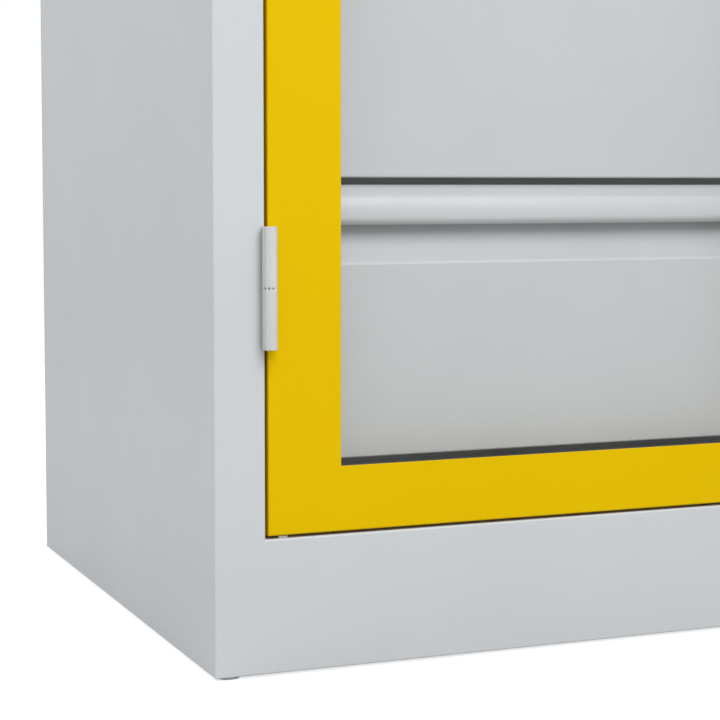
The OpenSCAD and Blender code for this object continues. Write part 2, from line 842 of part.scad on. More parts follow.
// A drawer front is three folded sheets, drawn as depth and height: the panel with its
// sloping recess, the angle above it that backs the grip, and the grip with its lip.
nose_z = front_h - nose_h;
lip_z = nose_z - lip_h;
wall_p = front_back_p - sheet;
slope = atan2(wall_p - bay_face_p, recess_h);
miter = sheet * tan(slope / 2);
nose_p = bay_face_p - nose_out;
nose_r = (nose_h - nose_edge_r * (1 - sin(nose_lean))) / sin(nose_lean);
nose_middle = [nose_p + nose_r, nose_z];
nose_top_angle = 180 - nose_lean;
grip_back_p = nose_middle[0] + (nose_r - nose_edge_r) * cos(nose_top_angle);
sheet_w0 = front_w0 + sheet;
sheet_w1 = front_w1 - sheet;

// The nose's face, set back by a sheet where back is that thickness, from top to bottom.
// It is upright at its lower bend and leans back towards its top.
function nose_face(back) = arc(nose_middle, nose_r - back, nose_top_angle, 180, 12);

// The nose's rounded upper edge, set back likewise, from the drawer's top to the face
function nose_top(back) =
    arc(nose_middle + (nose_r - nose_edge_r) * [cos(nose_top_angle), sin(nose_top_angle)],
        nose_edge_r - back, 90, nose_top_angle, 4);

// The lip, which curls back under the nose, from the nose's lower edge to its end
function lip_curl(back) = concat(
    arc([nose_p + lip_h, nose_z], lip_h - back, 180, 270, 6),
    [[bay_face_p + lip_in, lip_z + back]]);

function grip_points() = concat(
    nose_top(sheet), nose_face(sheet), lip_curl(sheet),
    [for (i = [7:-1:0]) lip_curl(0)[i]],
    [for (i = [12:-1:0]) nose_face(0)[i]],
    [for (i = [4:-1:0]) nose_top(0)[i]]);

function grip_end_points() = concat(
    [[front_back_p, 0], [front_back_p, front_h]], nose_top(0), nose_face(0),
    [[bay_face_p, 0]]);

function panel_points() = [
    [front_back_p, 0], [bay_face_p, 0], [bay_face_p, recess_z], [wall_p, lip_z],
    [front_back_p, lip_z], [front_back_p, lip_z - miter], [bay_face_p + sheet, recess_z - miter],
    [bay_face_p + sheet, sheet], [front_back_p, sheet]];

function head_points() = [
    [wall_p, lip_z], [front_back_p, lip_z], [front_back_p, front_h], [grip_back_p, front_h],
    [grip_back_p, front_h - sheet], [wall_p, front_h - sheet]];

// The folded panel with its lower return, and the edges folded in behind it
module drawer_front(n) {
    color(grey) translate([0, 0, drawer_z(n)]) difference() {
        union() {
            across([sheet_w0, sheet_w1], panel_points());
            both_sides() block([sheet_w0, front_w0 + rear_lip], [wall_p, front_back_p],
                               [0, lip_z]);
            block([sheet_w0, sheet_w1], [wall_p, front_back_p], [0, foot_lip]);
        }
        front_screw_holes();
    }
}

// The angle that backs the grip and closes the front at the top
module drawer_head(n) {
    color(grey) translate([0, 0, drawer_z(n)]) across([sheet_w0, sheet_w1], head_points());
}

// The rounded grip with its lip, and the plates that close both ends of the front
module drawer_grip(n) {
    color(grey) translate([0, 0, drawer_z(n)]) {
        across([sheet_w0, sheet_w1], grip_points());
        both_sides() across([front_w0, sheet_w0], grip_end_points());
    }
}

// Clearance holes for the screws between a tray and its front
module front_screw_holes() {
    both_sides() for (z = front_screw_z)
        rod_y(shank_r + fit, front_screw_w, [wall_p - cut, front_back_p + 2 * cut], z);
}

// Its children, made along +X, at each screw between a tray and its inner rails
module at_rail_screws() {
    both_sides() for (p = rail_screw_p) at(tray_w0, p, tray_rise + rail_rise)
        rotate([0, 90, 0]) children();
}

module drawer_tray(n) {
    color(pale) translate([0, 0, drawer_z(n)]) difference() {
        block([tray_w0, tray_w1], [front_back_p, front_back_p + tray_d],
              [tray_rise, tray_rise + tray_h]);
        block([tray_w0 + sheet, tray_w1 - sheet],
              [front_back_p + sheet, front_back_p + tray_d - sheet],
              [tray_rise + sheet, tray_rise + tray_h + cut]);
        front_screw_holes();
        at_rail_screws() translate([0, 0, -cut]) cylinder(r = shank_r + fit, h = 4 * cut);
    }
}

module drawer_screws(n) {
    color(zinc) translate([0, 0, drawer_z(n)]) {
        both_sides() for (z = front_screw_z) {
            rod_y(shank_r, front_screw_w, [wall_p, front_back_p + sheet], z);
            rod_y(head_r, front_screw_w,
                  [front_back_p + sheet, front_back_p + sheet + head_h], z);
        }
        at_rail_screws() {
            translate([0, 0, -rail_sheet]) cylinder(r = shank_r, h = rail_sheet + sheet);
            translate([0, 0, sheet]) cylinder(r = head_r, h = head_h);
        }
    }
}

// ---- Telescopic runners ----

// Runners are nested channels. x runs from the bay's wall towards the tray.
// A channel with its web at web_x, half as tall as half, its flanges reaching to lip_x.
module channel(web_x, lip_x, half) {
    low = min(web_x[0], lip_x);
    high = max(web_x[1], lip_x);
    p = [rail_p, rail_p + rail_len];
    block(bay_w0 * [1, 1] + web_x, p, [-half, half]);
    for (s = [-1, 1])
        block([bay_w0 + low, bay_w0 + high], p,
              [min(s * half, s * (half - rail_sheet)), max(s * half, s * (half - rail_sheet))]);
}

outer_half = rail_h / 2;
middle_half = outer_half - rail_sheet - run_gap;
inner_half = middle_half - rail_sheet - run_gap;

module at_runner(n) {
    translate([0, 0, drawer_z(n) + tray_rise + rail_rise]) both_sides() children();
}

module outer_rails(n) {
    color(zinc) at_runner(n) channel([0, rail_sheet], rail_t - 2.5 * rail_sheet, outer_half);
}

module middle_rails(n) {
    web = rail_sheet + run_gap;
    color(zinc) at_runner(n)
        channel([web, web + rail_sheet], rail_t - rail_sheet - run_gap, middle_half);
}

module inner_rails(n) {
    color(zinc) difference() {
        at_runner(n)
            channel([rail_t - rail_sheet, rail_t], 2 * (rail_sheet + run_gap) + run_gap,
                    inner_half);
        translate([0, 0, drawer_z(n)]) at_rail_screws() translate([0, 0, -rail_sheet - cut])
            cylinder(r = shank_r + fit, h = rail_sheet + 2 * cut);
    }
}

// ---- Nodes ----

front_frame();
left_side_panel();
right_side_panel();
top_panel();
bottom_panel();
back_panel();
back_screws();
foot_plates();
foot_nuts();
levelling_feet();
bay_left_wall();
bay_right_wall();
bay_floor();
bay_ceiling();
bay_cross_rails();
door_buffers();
door_glide();
frame_hinge_halves();
hinge_pins();
outer_rails(1);  // drawer_1_outer_rails
outer_rails(2);  // drawer_2_outer_rails
outer_rails(3);  // drawer_3_outer_rails
door_pan();
door_inner_frame();
window_pane();
pane_gasket();
door_hinge_halves();
handle_plate();
handle_plate_screws();
lock_case();
rod_guides();
lock_barrel();
handle_knob();
handle_spindle();
lock_pinion();
lock_core();
lock_cam();
upper_rod();
lower_rod();
drawer_front(1);  // drawer_1_front
drawer_head(1);  // drawer_1_head
drawer_grip(1);  // drawer_1_grip
drawer_tray(1);  // drawer_1_tray
inner_rails(1);  // drawer_1_inner_rails
drawer_screws(1);  // drawer_1_screws
drawer_front(2);  // drawer_2_front
drawer_head(2);  // drawer_2_head
drawer_grip(2);  // drawer_2_grip
drawer_tray(2);  // drawer_2_tray
inner_rails(2);  // drawer_2_inner_rails
drawer_screws(2);  // drawer_2_screws
drawer_front(3);  // drawer_3_front
drawer_head(3);  // drawer_3_head
drawer_grip(3);  // drawer_3_grip
drawer_tray(3);  // drawer_3_tray
inner_rails(3);  // drawer_3_inner_rails
drawer_screws(3);  // drawer_3_screws
middle_rails(1);  // drawer_1_middle_rails
middle_rails(2);  // drawer_2_middle_rails
middle_rails(3);  // drawer_3_middle_rails
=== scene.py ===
# %% [markdown]
# # A reagent drawer cabinet
#
# The real object is a floor cabinet of powder-coated sheet steel: a grey body on four small
# feet, an inset yellow door with a clear window, and drawers with full-width grips behind it.
# Sheet steel looks right in a render when its folds are round and its faces are dead flat, so
# most pieces below are a thin section carried round an opening or along an edge. The measured
# model comes in first, and every new piece takes its place from it.

# %% Load the measured frame
import math

import bpy
import numpy as np
from mathutils import Matrix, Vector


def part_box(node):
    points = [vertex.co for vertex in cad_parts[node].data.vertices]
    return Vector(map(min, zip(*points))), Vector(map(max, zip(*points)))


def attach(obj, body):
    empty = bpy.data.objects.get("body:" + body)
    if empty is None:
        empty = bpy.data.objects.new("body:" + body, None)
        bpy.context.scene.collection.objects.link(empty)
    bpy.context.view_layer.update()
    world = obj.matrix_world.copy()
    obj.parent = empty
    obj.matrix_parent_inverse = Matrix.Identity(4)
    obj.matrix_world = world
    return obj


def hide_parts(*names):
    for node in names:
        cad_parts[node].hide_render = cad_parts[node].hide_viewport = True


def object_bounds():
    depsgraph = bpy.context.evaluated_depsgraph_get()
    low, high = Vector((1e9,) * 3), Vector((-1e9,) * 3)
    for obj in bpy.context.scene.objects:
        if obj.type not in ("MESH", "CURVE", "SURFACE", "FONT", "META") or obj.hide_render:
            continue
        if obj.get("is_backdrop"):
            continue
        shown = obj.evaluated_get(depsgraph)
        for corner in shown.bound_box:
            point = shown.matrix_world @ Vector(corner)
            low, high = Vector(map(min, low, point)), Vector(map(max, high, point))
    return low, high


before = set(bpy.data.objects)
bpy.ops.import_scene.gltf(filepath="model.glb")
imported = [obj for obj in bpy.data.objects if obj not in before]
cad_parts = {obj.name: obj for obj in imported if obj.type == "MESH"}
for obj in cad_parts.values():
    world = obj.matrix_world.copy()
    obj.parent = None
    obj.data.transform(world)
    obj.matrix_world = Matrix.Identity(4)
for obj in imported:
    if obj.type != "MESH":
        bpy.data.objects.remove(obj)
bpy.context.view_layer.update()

# %% [markdown]
# ## The camera
#
# The picture looks at the lower left corner from the left of the door, with the uprights
# almost parallel. A level camera with a lens shift would keep them exactly so, and a free
# camera would be easier to place, but the lines in the picture settle both: the camera sits
# low, turned a little to the right and tipped a few degrees down, with a small shift.

# %% Set the camera
def stand(thing, place, right, up, back):
    """Puts a camera or lamp at place, with its own axes along right, up and back."""
    thing.matrix_world = Matrix([[right[i], up[i], back[i], place[i]] for i in range(3)]
                                + [[0, 0, 0, 1]])


camera_place = (-0.7145, -1.5503, 0.3636)
camera_turn = math.radians(22.274)
camera_tip = math.radians(4.009)

camera_data = bpy.data.cameras.new("camera")
camera_data.sensor_width = 36.0
camera_data.lens = 93.67
camera_data.shift_y = -0.06
camera_data.clip_start = 0.01
camera = bpy.data.objects.new("camera", camera_data)
bpy.context.scene.collection.objects.link(camera)
back = -np.array([math.sin(camera_turn) * math.cos(camera_tip),
                  math.cos(camera_turn) * math.cos(camera_tip), -math.sin(camera_tip)])
right = np.array([math.cos(camera_turn), -math.sin(camera_turn), 0.0])
stand(camera, camera_place, right, np.cross(back, right), back)
bpy.context.scene.camera = camera
bpy.context.scene.view_settings.view_transform = "Standard"
print("camera", camera_place, "lens", camera_data.lens)

# %% [markdown]
# ## From arrays to surfaces
#
# Every new piece is a grid of points: rings of points, one ring after another. The faces
# between them follow from the counts alone, so whole arrays of corner numbers do it at once.
# A ring of rings closes on itself like a picture frame, and other shells get a cap at each
# end. The signed volume then says whether the faces point outwards.

# %% Faces between rings
def ring_faces(rows, cols, loop):
    """Corner numbers of a grid of closed rings: each face joins a point, its neighbour in
    the ring, and the same two points of the next ring. With loop the last ring meets the first."""
    r = np.arange(rows if loop else rows - 1)[:, None]
    c = np.arange(cols)[None, :]
    r2, c2 = (r + 1) % rows, (c + 1) % cols
    corners = [r * cols + c, r * cols + c2, r2 * cols + c2, r2 * cols + c]
    return np.stack(corners, -1).reshape(-1, 4)


def turned_volume(points, faces):
    """Signed volume inside a shell: a third of the sum of each face's centre dotted with its
    area vector, which is half the sum of its corners crossed in turn."""
    total = 0.0
    for face in faces:
        corners = points[face]
        area = np.cross(corners, np.roll(corners, -1, axis=-2)).sum(-2) / 2
        total += (corners.mean(-2) * area).sum() / 3
    return total


def shell(rings, loop=False):
    """A closed surface through rings of points, as (points, list of faces). Its ends are
    capped unless loop joins them, and it is turned to face outwards."""
    rows, cols = rings.shape[:2]
    points = rings.reshape(-1, 3)
    sides = ring_faces(rows, cols, loop)
    caps = [] if loop else [np.arange(cols)[::-1], np.arange(cols) + (rows - 1) * cols]
    faces = sides.tolist() + [cap.tolist() for cap in caps]
    if turned_volume(points, [sides] + caps) < 0:
        faces = [face[::-1] for face in faces]
    return points, faces


def stacked(axis, places, flat, loop=False):
    """A shell of flat rings, each at its own place along an axis, x or y. The rings hold their
    other two coordinates, the height last."""
    places = np.broadcast_to(np.asarray(places)[:, None], flat.shape[:2])
    order = {"x": (places, flat[..., 0]), "y": (flat[..., 0], places)}[axis]
    return shell(np.stack([*order, flat[..., 1]], -1), loop)


def eased(radius, steps):
    """A rounded end, ring by ring: how far each ring shrinks, radius times one minus the sine
    of the turn, and how far it lies from the end, radius times one minus the cosine."""
    turn_in = np.linspace(0, math.pi / 2, steps + 1)
    return radius * (1 - np.sin(turn_in)), radius * (1 - np.cos(turn_in))


print("faces of a grid of 3 rings of 4 points:", len(ring_faces(3, 4, False)))

# %% Put a piece into the scene
CREASE = 35.0


def mesh_object(name, shells):
    """An object whose mesh holds several shells side by side."""
    points, faces, start = [], [], 0
    for part_points, part_faces in shells:
        points.append(part_points)
        faces += [[corner + start for corner in face] for face in part_faces]
        start += len(part_points)
    mesh = bpy.data.meshes.new(name)
    mesh.from_pydata(np.concatenate(points), [], faces)
    thing = bpy.data.objects.new(name, mesh)
    bpy.context.scene.collection.objects.link(thing)
    return thing


def smooth_but_creased(mesh, crease):
    """Smooth faces, with edges that turn by more than crease degrees kept sharp."""
    mesh.shade_smooth()
    mesh.set_sharp_from_angle(angle=math.radians(crease))


def add_piece(name, shells, material, body, stands_for=(), crease=CREASE):
    """One painted piece of several shells. It rides on its body and stands for the CAD nodes
    named."""
    piece = mesh_object(name, shells)
    mesh = piece.data
    smooth_but_creased(mesh, crease)
    mesh.materials.append(material)
    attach(piece, body)
    if stands_for:
        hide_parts(*stands_for)
    print(f"{name}: {len(mesh.vertices)} points, {len(mesh.polygons)} faces")
    return piece


print("edges stay sharp above", CREASE, "degrees")

# %% [markdown]
# ## Painted steel
#
# Powder coat is a thick, slightly uneven skin: the colour barely changes from place to place,
# the gloss is satin, and very close up the surface waves like orange peel. A flat colour would
# look like plastic and an image would stretch, so noise in the object's own millimetres does
# it: slow noise for the tone, fine noise for the gloss and the bump. Some light and shade is
# painted into the coats as well. Behind its front edge the door's coat is tinted warm and
# darker, painted shade and bounced light for the narrow gap. The recess behind a grip is
# painted a shade duller than the panel, for the shadow under the grip. The drawers' coat is
# the body's made a tenth darker, painted shade for their place behind the door, and the inner
# carcass is dark grey, made darker still to paint the shade in the gaps between the drawers.

# %% A small helper for shader nodes
def new_material(name):
    """A material with its nodes cleared and a Principled shader wired to its output. Returns the
    material, its tree and the shader."""
    material = bpy.data.materials.new(name)
    material.use_nodes = True
    tree = material.node_tree
    tree.nodes.clear()
    output = tree.nodes.new("ShaderNodeOutputMaterial")
    shader = tree.nodes.new("ShaderNodeBsdfPrincipled")
    tree.links.new(shader.outputs["BSDF"], output.inputs["Surface"])
    return material, tree, shader


def noise(tree, scale, detail=2.0, stretch=(1, 1, 1)):
    """Noise in object coordinates, in patches of about 1 / scale metres, drawn out where
    stretch is below 1. Returns the socket with its value."""
    place = tree.nodes.new("ShaderNodeTexCoord")
    mapping = tree.nodes.new("ShaderNodeMapping")
    mapping.inputs["Scale"].default_value = stretch
    texture = tree.nodes.new("ShaderNodeTexNoise")
    texture.inputs["Scale"].default_value = scale
    texture.inputs["Detail"].default_value = detail
    tree.links.new(place.outputs["Object"], mapping.inputs["Vector"])
    tree.links.new(mapping.outputs["Vector"], texture.inputs["Vector"])
    return texture.outputs["Fac"]


def ramp(tree, value, low, high):
    """Turns a value into a colour: low up to 0.3, high from 0.7, and a straight blend between
    them, which is where nearly all noise lies. low and high may be greys or RGB."""
    node = tree.nodes.new("ShaderNodeValToRGB")
    stops = node.color_ramp.elements
    stops[0].position, stops[1].position = 0.3, 0.7
    for stop, colour in zip(stops, (low, high)):
        colour = (colour,) * 3 if np.isscalar(colour) else tuple(colour)
        stop.color = (*colour, 1.0)
    tree.links.new(value, node.inputs["Fac"])
    return node.outputs["Color"]


def bump(tree, shader, height, distance):
    """Tilts the shading as if height stood up to distance metres."""
    node = tree.nodes.new("ShaderNodeBump")
    node.inputs["Distance"].default_value = distance
    tree.links.new(height, node.inputs["Height"])
    tree.links.new(node.outputs["Normal"], shader.inputs["Normal"])


print("helpers for materials are ready")

# %% Powder coats
def behind(tree, depth, blend):
    """Rises from zero to one over blend metres where object Y passes depth."""
    place = tree.nodes.new("ShaderNodeTexCoord")
    split = tree.nodes.new("ShaderNodeSeparateXYZ")
    span = tree.nodes.new("ShaderNodeMapRange")
    span.inputs["From Min"].default_value = depth
    span.inputs["From Max"].default_value = depth + blend
    tree.links.new(place.outputs["Object"], split.inputs["Vector"])
    tree.links.new(split.outputs["Y"], span.inputs["Value"])
    return span.outputs["Result"]


def powder_coat(name, colour, gloss=0.32, shine=0.5, peel=0.00002, inner=None):
    """Satin powder coat: the colour varies by a percent or two in patches of a hand's width,
    the roughness by a few hundredths, and the bump is orange peel of about 1.5 mm. inner is a
    depth, a blend, a tint and an end: past that depth the coat's colour is multiplied by the
    tint, which comes in over the blend. The end, if any, is where and over how much it goes."""
    material, tree, shader = new_material(name)
    colour = np.array(colour)
    tone = ramp(tree, noise(tree, 9.0, 3.0), colour * 0.985, colour * 1.012)
    # The inner tint is painted light: a recess painted duller for its shade, or a gap painted warm and
    # darker for the shade and bounced light in it.
    if inner:
        depth, blend, tint, end = inner
        share = behind(tree, depth, blend)
        if end:
            less = tree.nodes.new("ShaderNodeMath")
            less.operation = "SUBTRACT"
            tree.links.new(share, less.inputs[0])
            tree.links.new(behind(tree, *end), less.inputs[1])
            share = less.outputs[0]
        painted_light_tone = ramp(tree, noise(tree, 9.0, 3.0), colour * tint * 0.97, colour * tint * 1.03)
        mix = tree.nodes.new("ShaderNodeMix")
        mix.data_type = "RGBA"
        tree.links.new(share, mix.inputs["Factor"])
        tree.links.new(tone, mix.inputs["A"])
        tree.links.new(painted_light_tone, mix.inputs["B"])
        tone = mix.outputs["Result"]
    tree.links.new(tone, shader.inputs["Base Color"])
    rough = ramp(tree, noise(tree, 60.0, 4.0), gloss - 0.03, gloss + 0.04)
    tree.links.new(rough, shader.inputs["Roughness"])
    shader.inputs["Specular IOR Level"].default_value = shine
    bump(tree, shader, noise(tree, 650.0, 2.0), peel)
    return material


body_paint = powder_coat("body_powder_coat", (0.625, 0.655, 0.675))
# Painted shade in each grip's recess: just behind the panel the slope is painted about a tenth duller, and
# this fades out again deeper in.
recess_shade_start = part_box("drawer_1_grip")[0].y + 0.0026
recess_shade_reach, painted_recess_shade = 0.0105, (0.89, 0.89, 0.89)
# The drawers' coat is the body's coat made a tenth darker: painted shade for the drawers standing back
# behind the door.
drawer_coat_and_shade = powder_coat(
    "drawer_and_shade_coat", (0.565, 0.592, 0.610),
    inner=(recess_shade_start, 0.0008, painted_recess_shade, (recess_shade_start + recess_shade_reach, 0.004)))
# The inner carcass is dark grey, and its coat is made darker still to paint the shade seen in the gaps
# between the drawers.
carcass_coat_and_gap_shade = powder_coat("carcass_and_gap_shade_coat", (0.073, 0.073, 0.074), gloss=0.5, shine=0.1)
# Painted light: behind its front edge the door's coat is tinted warm and darker, painted shade and bounced
# yellow light for the narrow gap round the door.
gap_warmth_from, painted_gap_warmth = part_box("door_pan")[0].y + 0.0012, (1.0, 0.74, 4.0)
door_coat_and_gap_light = powder_coat("door_and_gap_light_coat", (0.78, 0.515, 0.0005), shine=0.05,
                         inner=(gap_warmth_from, 0.0025, painted_gap_warmth, None))
door_back_paint = powder_coat("door_inner_coat", (0.76, 0.51, 0.006), shine=0.1)

# %% [markdown]
# ## Metal, plastic, rubber and the pane
#
# The fittings are small, so each finish needs only what shows at arm's length: zinc plate has
# a faint spangle and long rubbed streaks, moulded plastic a fine spark-eroded grain, rubber a
# dull bloom. The pane is clear sheet: mostly see-through, with a gloss that mirrors the room.

# %% Fittings
def zinc_plate(name):
    """Bright zinc on rolled steel: metallic, with streaks along Y and blotches of passivation."""
    material, tree, shader = new_material(name)
    shader.inputs["Metallic"].default_value = 1.0
    streaks = noise(tree, 220.0, 3.0, (1.0, 0.06, 1.0))
    tree.links.new(ramp(tree, noise(tree, 38.0, 4.0), (0.50, 0.51, 0.52), (0.66, 0.665, 0.66)),
                   shader.inputs["Base Color"])
    tree.links.new(ramp(tree, streaks, 0.30, 0.46), shader.inputs["Roughness"])
    bump(tree, shader, streaks, 0.00001)
    return material


def moulded(name, colour, rough, grain=1800.0, depth=0.00003):
    """A moulded or cast skin: nearly one colour, with fine grain in the bump and the gloss."""
    material, tree, shader = new_material(name)
    colour = np.array(colour)
    tree.links.new(ramp(tree, noise(tree, 25.0, 3.0), colour * 0.94, colour * 1.05),
                   shader.inputs["Base Color"])
    tree.links.new(ramp(tree, noise(tree, 300.0, 2.0), rough - 0.05, rough + 0.05),
                   shader.inputs["Roughness"])
    bump(tree, shader, noise(tree, grain, 2.0), depth)
    return material


zinc = zinc_plate("zinc_plate")
hinge_coat = moulded("hinge_coat", (0.64, 0.64, 0.64), 0.45, 900.0, 0.00001)
black_plastic = moulded("black_moulding", (0.028, 0.028, 0.030), 0.5)
pale_plastic = moulded("pale_moulding", (0.62, 0.64, 0.64), 0.45)
seal_rubber = moulded("seal_rubber", (0.03, 0.03, 0.031), 0.75, 700.0)

# %% The clear pane
def clear_sheet(name):
    """A clear sheet: almost fully see-through, with a smooth gloss and faint dust that lifts
    its cover by a percent."""
    material, tree, shader = new_material(name)
    shader.inputs["Base Color"].default_value = (0.80, 0.84, 0.84, 1.0)
    shader.inputs["Roughness"].default_value = 0.03
    tree.links.new(ramp(tree, noise(tree, 14.0, 5.0), 0.028, 0.038), shader.inputs["Alpha"])
    return material


pane_clear = clear_sheet("clear_pane")
print("pane ready")

# %% [markdown]
# ## Rings round an opening
#
# The front frame, the door pan and the door's inner frame are sheets folded round a
# rectangular opening. Box modelling with bevels would do, but a folded sheet is really one
# section carried round a rectangle, with a mitre at each corner. So the section is written as
# points, each by its place between the outer and the inner rectangle, its inset and its depth,
# and every point becomes a ring. A point just before and after each bend keeps flats flat, and
# HOLD is how far off the bend it lies.

# %% Rectangular rings
HOLD = 0.00025


def ring_corners(radius, steps):
    """Points round the four corners of a rectangle, measured from the centre of each corner's
    arc: a holding point, a quarter circle of radius, and a holding point."""
    quarter = np.arange(4)[:, None] * math.pi / 2
    angle = quarter + np.linspace(0, math.pi / 2, steps + 1)[None, :]
    arc = radius * np.stack([np.cos(angle), np.sin(angle)], -1)
    first, last = arc[:, :1], arc[:, -1:]
    back = HOLD * np.stack([np.sin(quarter), -np.cos(quarter)], -1)
    ahead = HOLD * np.stack([-np.sin(quarter + math.pi / 2), np.cos(quarter + math.pi / 2)], -1)
    return np.concatenate([first + back, arc, last + ahead], 1)


def rectangle_rings(edges, radius=0.0003, steps=2):
    """Points round rectangles with rounded corners. edges holds left, right, bottom and top
    of each ring; the result is (rings, points, 2), anticlockwise from the right side's top."""
    left, right_edge, bottom, top = np.moveaxis(np.asarray(edges, float), -1, 0)
    corner = ring_corners(radius, steps)
    x = np.stack([right_edge - radius, left + radius, left + radius, right_edge - radius], -1)
    z = np.stack([top - radius, top - radius, bottom + radius, bottom + radius], -1)
    points = np.stack([x, z], -1)[:, :, None, :] + corner[None]
    return points.reshape(len(points), -1, 2)


def folded_frame(outer, inner, section, front_y):
    """A section carried round a rectangular opening. Each of its points holds t, inset and
    depth: its rectangle lies the share t of the way from outer to inner, moved in by inset,
    and depth behind front_y."""
    t, inset, depth = np.asarray(section, float).T
    edges = (1 - t)[:, None] * np.array(outer) + t[:, None] * np.array(inner)
    edges = edges + inset[:, None] * np.array([1, -1, 1, -1])
    return stacked("y", front_y + depth, rectangle_rings(edges), loop=True)


print("points in one ring:", rectangle_rings([[0, 1, 0, 1]]).shape[1])

# %% Bends in a section
def bent(points, radii, steps=4):
    """A path of straight runs with its corners rounded. Each corner is replaced by an arc that
    touches both runs: it starts radius times the tangent of half the turn before the corner.
    A holding point lies just before and after each arc. The ends stay as they are."""
    points = np.asarray(points, float)
    before, here, after = points[:-2], points[1:-1], points[2:]
    into = (here - before) / np.linalg.norm(here - before, axis=1, keepdims=True)
    out = (after - here) / np.linalg.norm(after - here, axis=1, keepdims=True)
    cross = into[:, 0] * out[:, 1] - into[:, 1] * out[:, 0]
    swing = np.arctan2(cross, (into * out).sum(1))
    radius = np.asarray(radii, float)
    reach = radius * np.tan(np.abs(swing) / 2)
    side = np.sign(swing)[:, None] * np.stack([-into[:, 1], into[:, 0]], -1)
    centre = here - into * reach[:, None] + side * radius[:, None]
    share = np.linspace(0, 1, steps + 1)
    angle = share[None, :] * swing[:, None]
    spoke = -side * radius[:, None]
    arc = centre[:, None, :] + np.stack([
        spoke[:, :1] * np.cos(angle) - spoke[:, 1:] * np.sin(angle),
        spoke[:, :1] * np.sin(angle) + spoke[:, 1:] * np.cos(angle)], -1)
    runs = np.concatenate([(arc[:, :1] - HOLD * into[:, None]), arc,
                           (arc[:, -1:] + HOLD * out[:, None])], 1)
    return np.concatenate([points[:1], runs.reshape(-1, 2), points[-1:]])


square_bend = bent([[0, 0], [0.01, 0], [0.01, 0.01]], [0.0015])
print("a square bend has", len(square_bend), "points")

# %% [markdown]
# ## The front frame
#
# Stiles, top rail and plinth rail are one face, folded back round the door opening into a
# channel 24 mm deep, with a lip turned inwards that the door closes on. The outer edges are
# folded too, and the side panels carry on from there, so on the real cabinet the corner reads
# as one bend. The section below runs along the front, down the fold, out along the lip, and
# back behind the sheet. FLAT is how far from a fold the face is surely flat, and CUT_EDGE the
# rounding of the sheet's cut edge under the paint.

# %% Fold the front frame
SHEET, FLAT, CUT_EDGE = 0.0012, 0.004, 0.0003
frame_bend, corner_bend = 0.0014, 0.0009
frame_low, frame_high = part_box("front_frame")
pan_low, pan_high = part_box("door_pan")
door_gap = 0.0023
front_y = frame_low.y
frame_outer = [frame_low.x, frame_high.x, frame_low.z, frame_high.z]
opening = [pan_low.x - door_gap, pan_high.x + door_gap, pan_low.z - door_gap, pan_high.z + door_gap]
lip_back = frame_high.y - front_y
stop_lip = 0.0147


def on_outer(section):
    """Section points whose inset and depth are measured from the outer rectangle."""
    return np.insert(np.asarray(section, float), 0, 0.0, axis=1)


def on_inner(section):
    """Section points whose inset and depth are measured from the inner rectangle."""
    return np.insert(np.asarray(section, float), 0, 1.0, axis=1)


edge_fold = bent([[0.0, SHEET], [0.0, 0.0], [FLAT, 0.0]], [corner_bend])
opening_fold = bent([[-FLAT, 0.0], [0.0, 0.0], [0.0, lip_back - SHEET],
                     [stop_lip, lip_back - SHEET]], [frame_bend, CUT_EDGE])
opening_back = bent([[stop_lip, lip_back], [-SHEET, lip_back], [-SHEET, SHEET],
                     [-FLAT, SHEET]], [frame_bend, CUT_EDGE])
frame_section = np.concatenate([on_outer(edge_fold), on_inner(opening_fold),
                                on_inner(opening_back), on_outer([[FLAT, SHEET]])])
front_frame_shell = folded_frame(frame_outer, opening, frame_section, front_y)
print("front frame section:", len(frame_section), "points")

# %% [markdown]
# The plinth rail's lower edge is folded back too, as a strip between the feet. A strip, a
# drawer front or a rail is the same section all along its length, so its outline is worked
# out in depth and height and carried straight across.

# %% Carry an outline across
def carried_across(outline, x0, x1, round_ends=0.0):
    """An outline of depth and height points, closed, carried from x0 to x1. With round_ends
    the last rings shrink along the outline's normals, which rounds the ends by that much."""
    outline = np.asarray(outline, float)
    ahead = np.roll(outline, -1, 0) - np.roll(outline, 1, 0)
    normal = np.stack([ahead[:, 1], -ahead[:, 0]], -1)
    normal /= np.maximum(np.linalg.norm(normal, axis=1, keepdims=True), 1e-12)
    area = (outline[:, 0] * np.roll(outline[:, 1], -1) - np.roll(outline[:, 0], -1) * outline[:, 1]).sum()
    inward = -normal * np.sign(area)
    shrink, along = eased(round_ends, 3 if round_ends else 0)
    x = np.concatenate([x0 + along, (x1 - along)[::-1]])
    shrink = np.concatenate([shrink, shrink[::-1]])
    return stacked("x", x, outline[None] + shrink[:, None, None] * inward[None])


foot_plate_w, weld_gap, strip_depth = 0.04, 0.00005, 0.015
strip_y, strip_back, strip_z = front_y + SHEET + weld_gap, front_y + strip_depth, frame_low.z
strip = [[strip_y, strip_z], [strip_back, strip_z], [strip_back, strip_z + SHEET],
         [strip_y, strip_z + SHEET]]
strip_reach = frame_high.x - foot_plate_w - 2 * SHEET
frame_piece = add_piece("front_frame_folded",
                        [front_frame_shell, carried_across(strip, -strip_reach, strip_reach, CUT_EDGE)],
                        body_paint, "cabinet", ["front_frame"])

# %% [markdown]
# ## Side panels and top
#
# A side panel is a shallow tray: a big flat face with its edges folded inwards by 15 mm. Its
# front edge runs straight into the front frame's fold. The rings start at the face, go round
# the fold and down the flange, and come back inside. The top is a flat sheet with soft edges.

